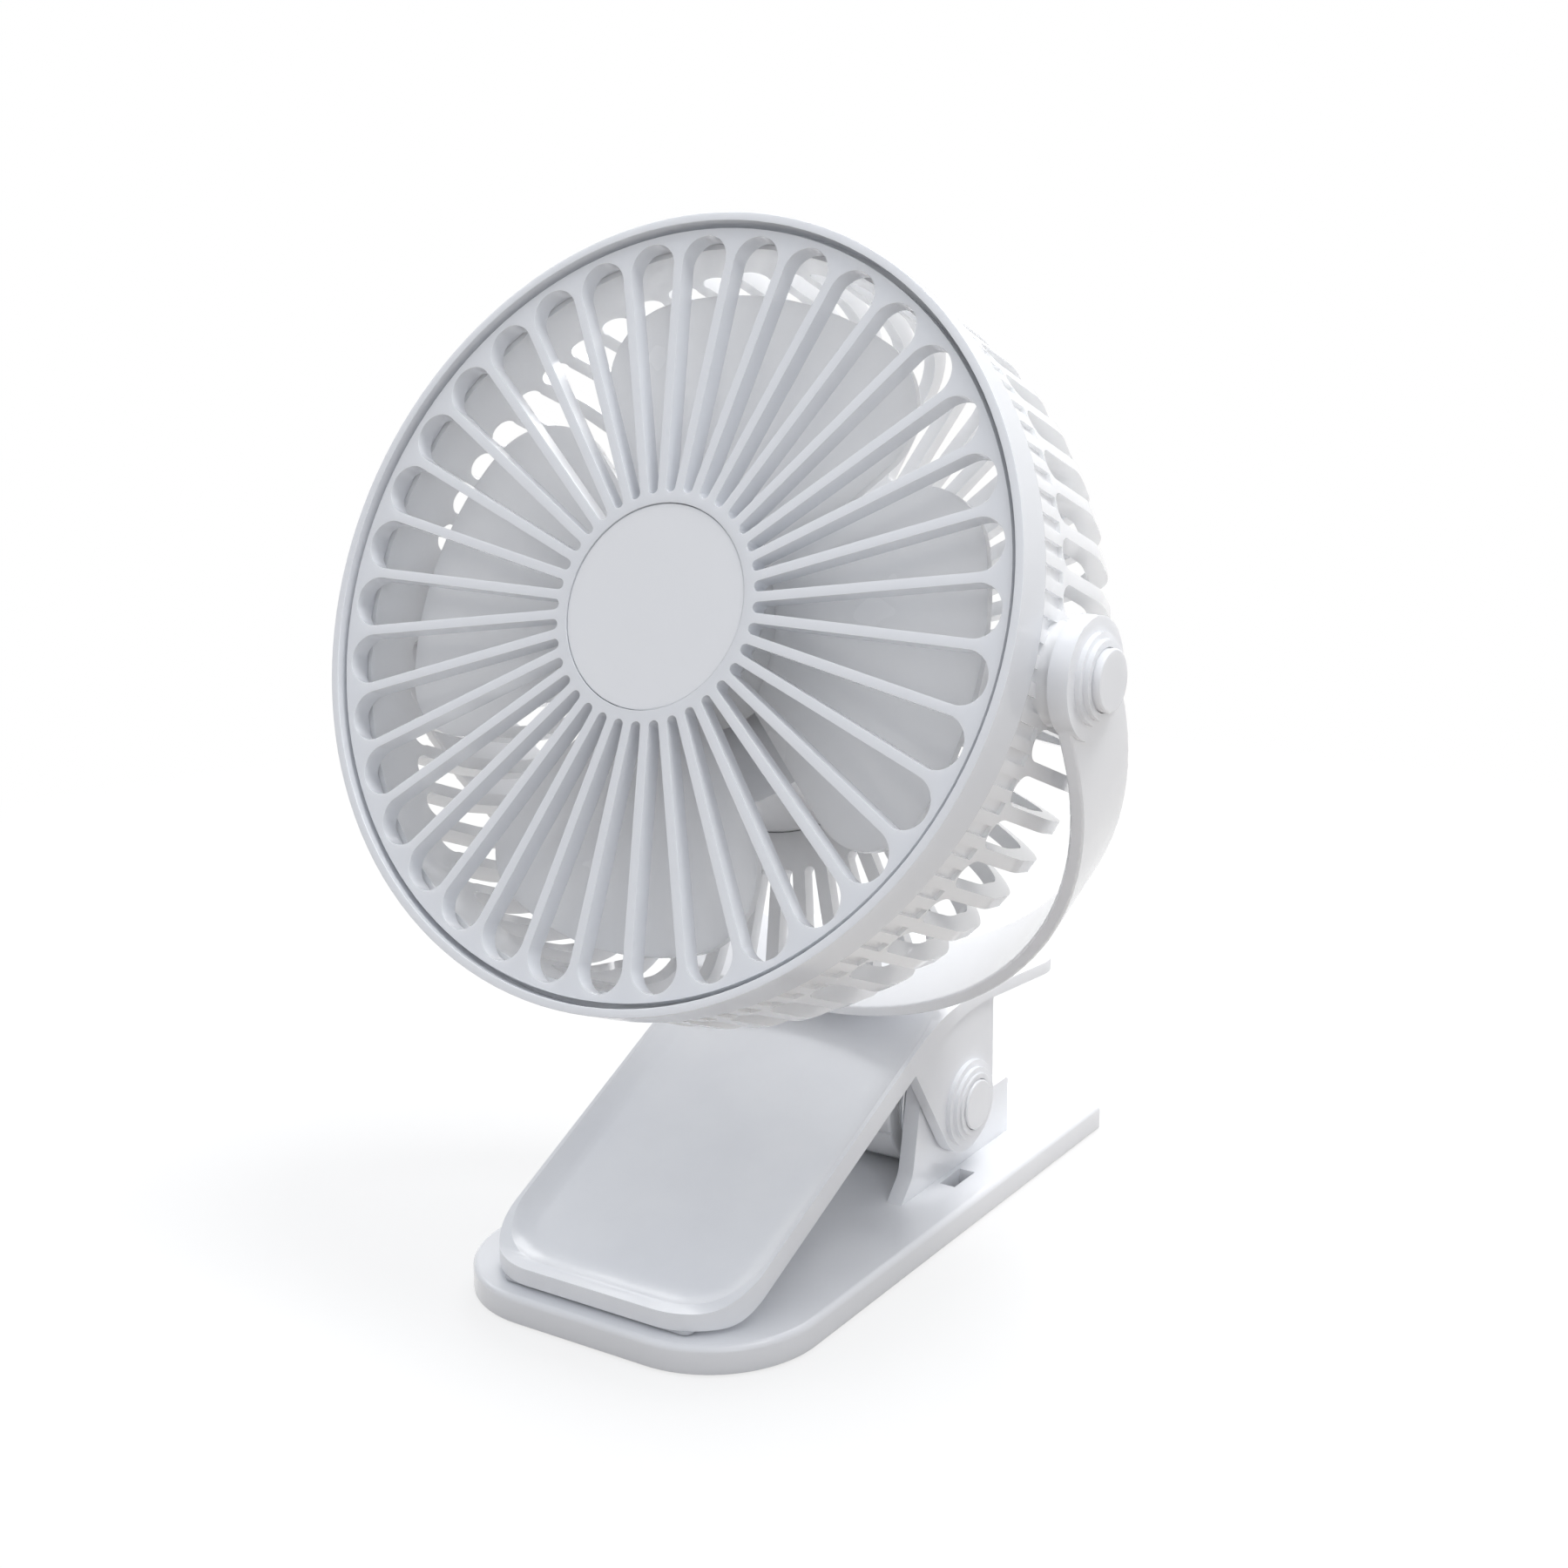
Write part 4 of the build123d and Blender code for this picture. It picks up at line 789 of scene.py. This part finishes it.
@dataclass(frozen=True)
class Softbox:
    """One area lamp aimed at the fan's middle.

    Attributes:
        name: Name of the lamp.
        place: Its place in metres.
        size: Its width and height in metres.
        power: Its power in watts.
        colour: Its colour.
    """

    name: str
    place: tuple[float, float, float]
    size: tuple[float, float]
    power: float
    colour: tuple[float, float, float] = (1.0, 1.0, 1.0)

    def build(self, target: Vector) -> None:
        """Add the lamp.

        Args:
            target: The point that it is aimed at.
        """
        lamp = bpy.data.lights.new(self.name, "AREA")
        lamp.shape = "RECTANGLE"
        lamp.size, lamp.size_y = self.size
        lamp.energy = self.power
        lamp.color = self.colour
        holder = bpy.data.objects.new(self.name, lamp)
        holder.location = self.place
        holder.rotation_euler = (target - holder.location).to_track_quat("-Z", "Y").to_euler()
        bpy.context.scene.collection.objects.link(holder)


@dataclass
class Studio:
    """White floor, white surroundings and soft lamps.

    Attributes:
        floor_half: Half the floor's side in metres.
        floor_white: Colour of the floor where it is seen.
        floor_shade: Colour of the light that the floor throws back at the fan.
        floor_lift: Share of plain white in the seen floor beside the fan.
        floor_fade: Distances between which the seen floor turns plain white.
        sky_low: Colour of the surroundings at the horizon and below.
        sky_high: Colour of the surroundings overhead.
        target: The point that the lamps are aimed at.
        lamps: The lamps.
    """

    floor_half: float = 3.0
    floor_white: tuple[float, float, float] = (0.9, 0.9, 0.9)
    floor_shade: tuple[float, float, float] = (0.42, 0.39, 0.36)
    floor_lift: float = 0.75
    floor_fade: tuple[float, float] = (0.12, 0.42)
    sky_low: tuple[float, float, float] = (0.46, 0.46, 0.465)
    sky_high: tuple[float, float, float] = (0.62, 0.655, 0.72)
    target: Vector = field(default_factory=lambda: Vector((0, 0, 0.1)))
    lamps: tuple[Softbox, ...] = (
        Softbox("top_box", (0.35, 0.2, 1.3), (0.6, 0.6), 10.2),
        Softbox("front_box", (-0.35, -1.1, 1.0), (0.9, 0.5), 0.6, (0.93, 0.96, 1.0)),
        Softbox("right_box", (0.95, -0.8, 0.45), (0.5, 0.6), 1.2, (0.84, 0.91, 1.0)),
        Softbox("left_box", (-1.2, 0.0, 0.9), (0.5, 0.6), 1.6, (0.9, 0.95, 1.0)),
        Softbox("back_box", (-0.45, 1.0, 0.8), (0.7, 0.7), 6.5),
    )

    def build(self) -> None:
        """Set the colour transform and add the surroundings, floor and lamps."""
        bpy.context.scene.view_settings.view_transform = "Standard"
        self._surroundings()
        self._floor()
        for lamp in self.lamps:
            lamp.build(self.target)

    @staticmethod
    def _seen_directly(
        nodes: bpy.types.Nodes, links: bpy.types.NodeLinks
    ) -> bpy.types.NodeSocket:
        """Add nodes that give 1 where a camera, glossy or transmitted ray meets the surface.

        Args:
            nodes: Nodes of the tree.
            links: Links of the tree.

        Returns:
            The socket with that value.
        """
        path = nodes.new("ShaderNodeLightPath")
        total = path.outputs["Is Camera Ray"]
        for output in ("Is Glossy Ray", "Is Transmission Ray"):
            either = nodes.new("ShaderNodeMath")
            either.operation = "MAXIMUM"
            links.new(total, either.inputs[0])
            links.new(path.outputs[output], either.inputs[1])
            total = either.outputs["Value"]
        return total

    @staticmethod
    def _mix(
        nodes: bpy.types.Nodes, links: bpy.types.NodeLinks, share: bpy.types.NodeSocket
    ) -> bpy.types.Node:
        """Add a mix of two shaders.

        Args:
            nodes: Nodes of the tree.
            links: Links of the tree.
            share: Socket that gives the second shader's share.

        Returns:
            The mix node.
        """
        mix = nodes.new("ShaderNodeMixShader")
        links.new(share, mix.inputs["Fac"])
        return mix

    def _surroundings(self) -> None:
        """Light from all round, seen as plain white."""
        world = bpy.data.worlds.new("studio")
        bpy.context.scene.world = world
        world.use_nodes = True
        nodes, links = world.node_tree.nodes, world.node_tree.links
        nodes.clear()
        direction = nodes.new("ShaderNodeTexCoord")
        height = nodes.new("ShaderNodeSeparateXYZ")
        links.new(direction.outputs["Generated"], height.inputs["Vector"])
        sky = nodes.new("ShaderNodeMix")
        sky.data_type = "RGBA"
        sky.inputs["A"].default_value = (*self.sky_low, 1.0)
        sky.inputs["B"].default_value = (*self.sky_high, 1.0)
        links.new(height.outputs["Z"], sky.inputs["Factor"])
        lit = nodes.new("ShaderNodeBackground")
        links.new(sky.outputs["Result"], lit.inputs["Color"])
        seen = nodes.new("ShaderNodeBackground")
        seen.inputs["Color"].default_value = PLAIN_WHITE
        mix = self._mix(nodes, links, self._seen_directly(nodes, links))
        links.new(lit.outputs["Background"], mix.inputs[1])
        links.new(seen.outputs["Background"], mix.inputs[2])
        output = nodes.new("ShaderNodeOutputWorld")
        links.new(mix.outputs["Shader"], output.inputs["Surface"])

    def _floor(self) -> None:
        """Pale floor that keeps the fan's shadow and fades into the white surroundings."""
        mesh = bmesh.new()
        bmesh.ops.create_grid(mesh, x_segments=1, y_segments=1, size=self.floor_half)
        data = bpy.data.meshes.new("floor")
        mesh.to_mesh(data)
        mesh.free()
        floor = bpy.data.objects.new("floor", data)
        bpy.context.scene.collection.objects.link(floor)
        material = bpy.data.materials.new("floor")
        material.use_nodes = True
        nodes, links = material.node_tree.nodes, material.node_tree.links
        nodes.clear()
        place = nodes.new("ShaderNodeTexCoord")
        distance = nodes.new("ShaderNodeVectorMath")
        distance.operation = "LENGTH"
        links.new(place.outputs["Object"], distance.inputs[0])
        fade = nodes.new("ShaderNodeMapRange")
        for end, distance_there in zip(("From Min", "From Max"), self.floor_fade):
            fade.inputs[end].default_value = distance_there
        fade.inputs["To Min"].default_value = self.floor_lift
        links.new(distance.outputs["Value"], fade.inputs["Value"])
        seen = self._mix(nodes, links, fade.outputs["Result"])
        paint = nodes.new("ShaderNodeBsdfDiffuse")
        paint.inputs["Color"].default_value = (*self.floor_white, 1.0)
        white = nodes.new("ShaderNodeEmission")
        links.new(paint.outputs["BSDF"], seen.inputs[1])
        links.new(white.outputs["Emission"], seen.inputs[2])
        shade = nodes.new("ShaderNodeBsdfDiffuse")
        shade.inputs["Color"].default_value = (*self.floor_shade, 1.0)
        either = self._mix(nodes, links, self._seen_directly(nodes, links))
        links.new(shade.outputs["BSDF"], either.inputs[1])
        links.new(seen.outputs["Shader"], either.inputs[2])
        output = nodes.new("ShaderNodeOutputMaterial")
        links.new(either.outputs["Shader"], output.inputs["Surface"])
        data.materials.append(material)


@dataclass
class PhotoCamera:
    """Camera at the photograph's place.

    Attributes:
        target: Point in the picture's middle distance, in metres.
        distance: Distance from the target.
        azimuth: Turn about Z from the front, in degrees.
        elevation: Height above the horizon, in degrees.
        roll: Turn about the line of sight, in degrees.
        lens: Focal length in millimetres.
        sensor: Width of the sensor in millimetres.
        shift: Sideways and upward shift of the frame, as shares of its width.
        nearest: Distance from which the camera sees, in metres.
    """

    target: tuple[float, float, float] = (0.0, 0.0214, 0.1)
    distance: float = 0.49447
    azimuth: float = 32.27
    elevation: float = 13.76
    roll: float = -0.27
    lens: float = 54.608
    sensor: float = 36.0
    shift: tuple[float, float] = (-0.03756, -0.03917)
    nearest: float = 0.01

    def build(self) -> None:
        """Add the camera and make it the scene's."""
        turn, height = math.radians(self.azimuth), math.radians(self.elevation)
        level = Vector((math.sin(turn), -math.cos(turn), 0.0)) * math.cos(height)
        back = level + Vector((0.0, 0.0, math.sin(height)))
        data = bpy.data.cameras.new("photo_camera")
        data.lens = self.lens
        data.sensor_width = self.sensor
        data.shift_x, data.shift_y = self.shift
        data.clip_start = self.nearest
        camera = bpy.data.objects.new("photo_camera", data)
        bpy.context.scene.collection.objects.link(camera)
        aim = (-back).to_track_quat("-Z", "Y").to_matrix().to_4x4()
        place = Matrix.Translation(Vector(self.target) + back * self.distance)
        roll = Matrix.Rotation(math.radians(self.roll), 4, "Z")
        camera.matrix_world = place @ aim @ roll
        bpy.context.scene.camera = camera


def main() -> None:
    """Build the camera, the studio and every sub-assembly in order."""
    logging.basicConfig(level=logging.INFO, format="%(message)s")
    for part in (
        PhotoCamera(),
        Studio(),
        ClampBase(),
        ClipArm(),
        Yoke(),
        HeadShell(),
        CoverScrews(),
        Electrics(),
        Motor(),
        Impeller(),
    ):
        part.build()


if __name__ == "__main__":
    main()
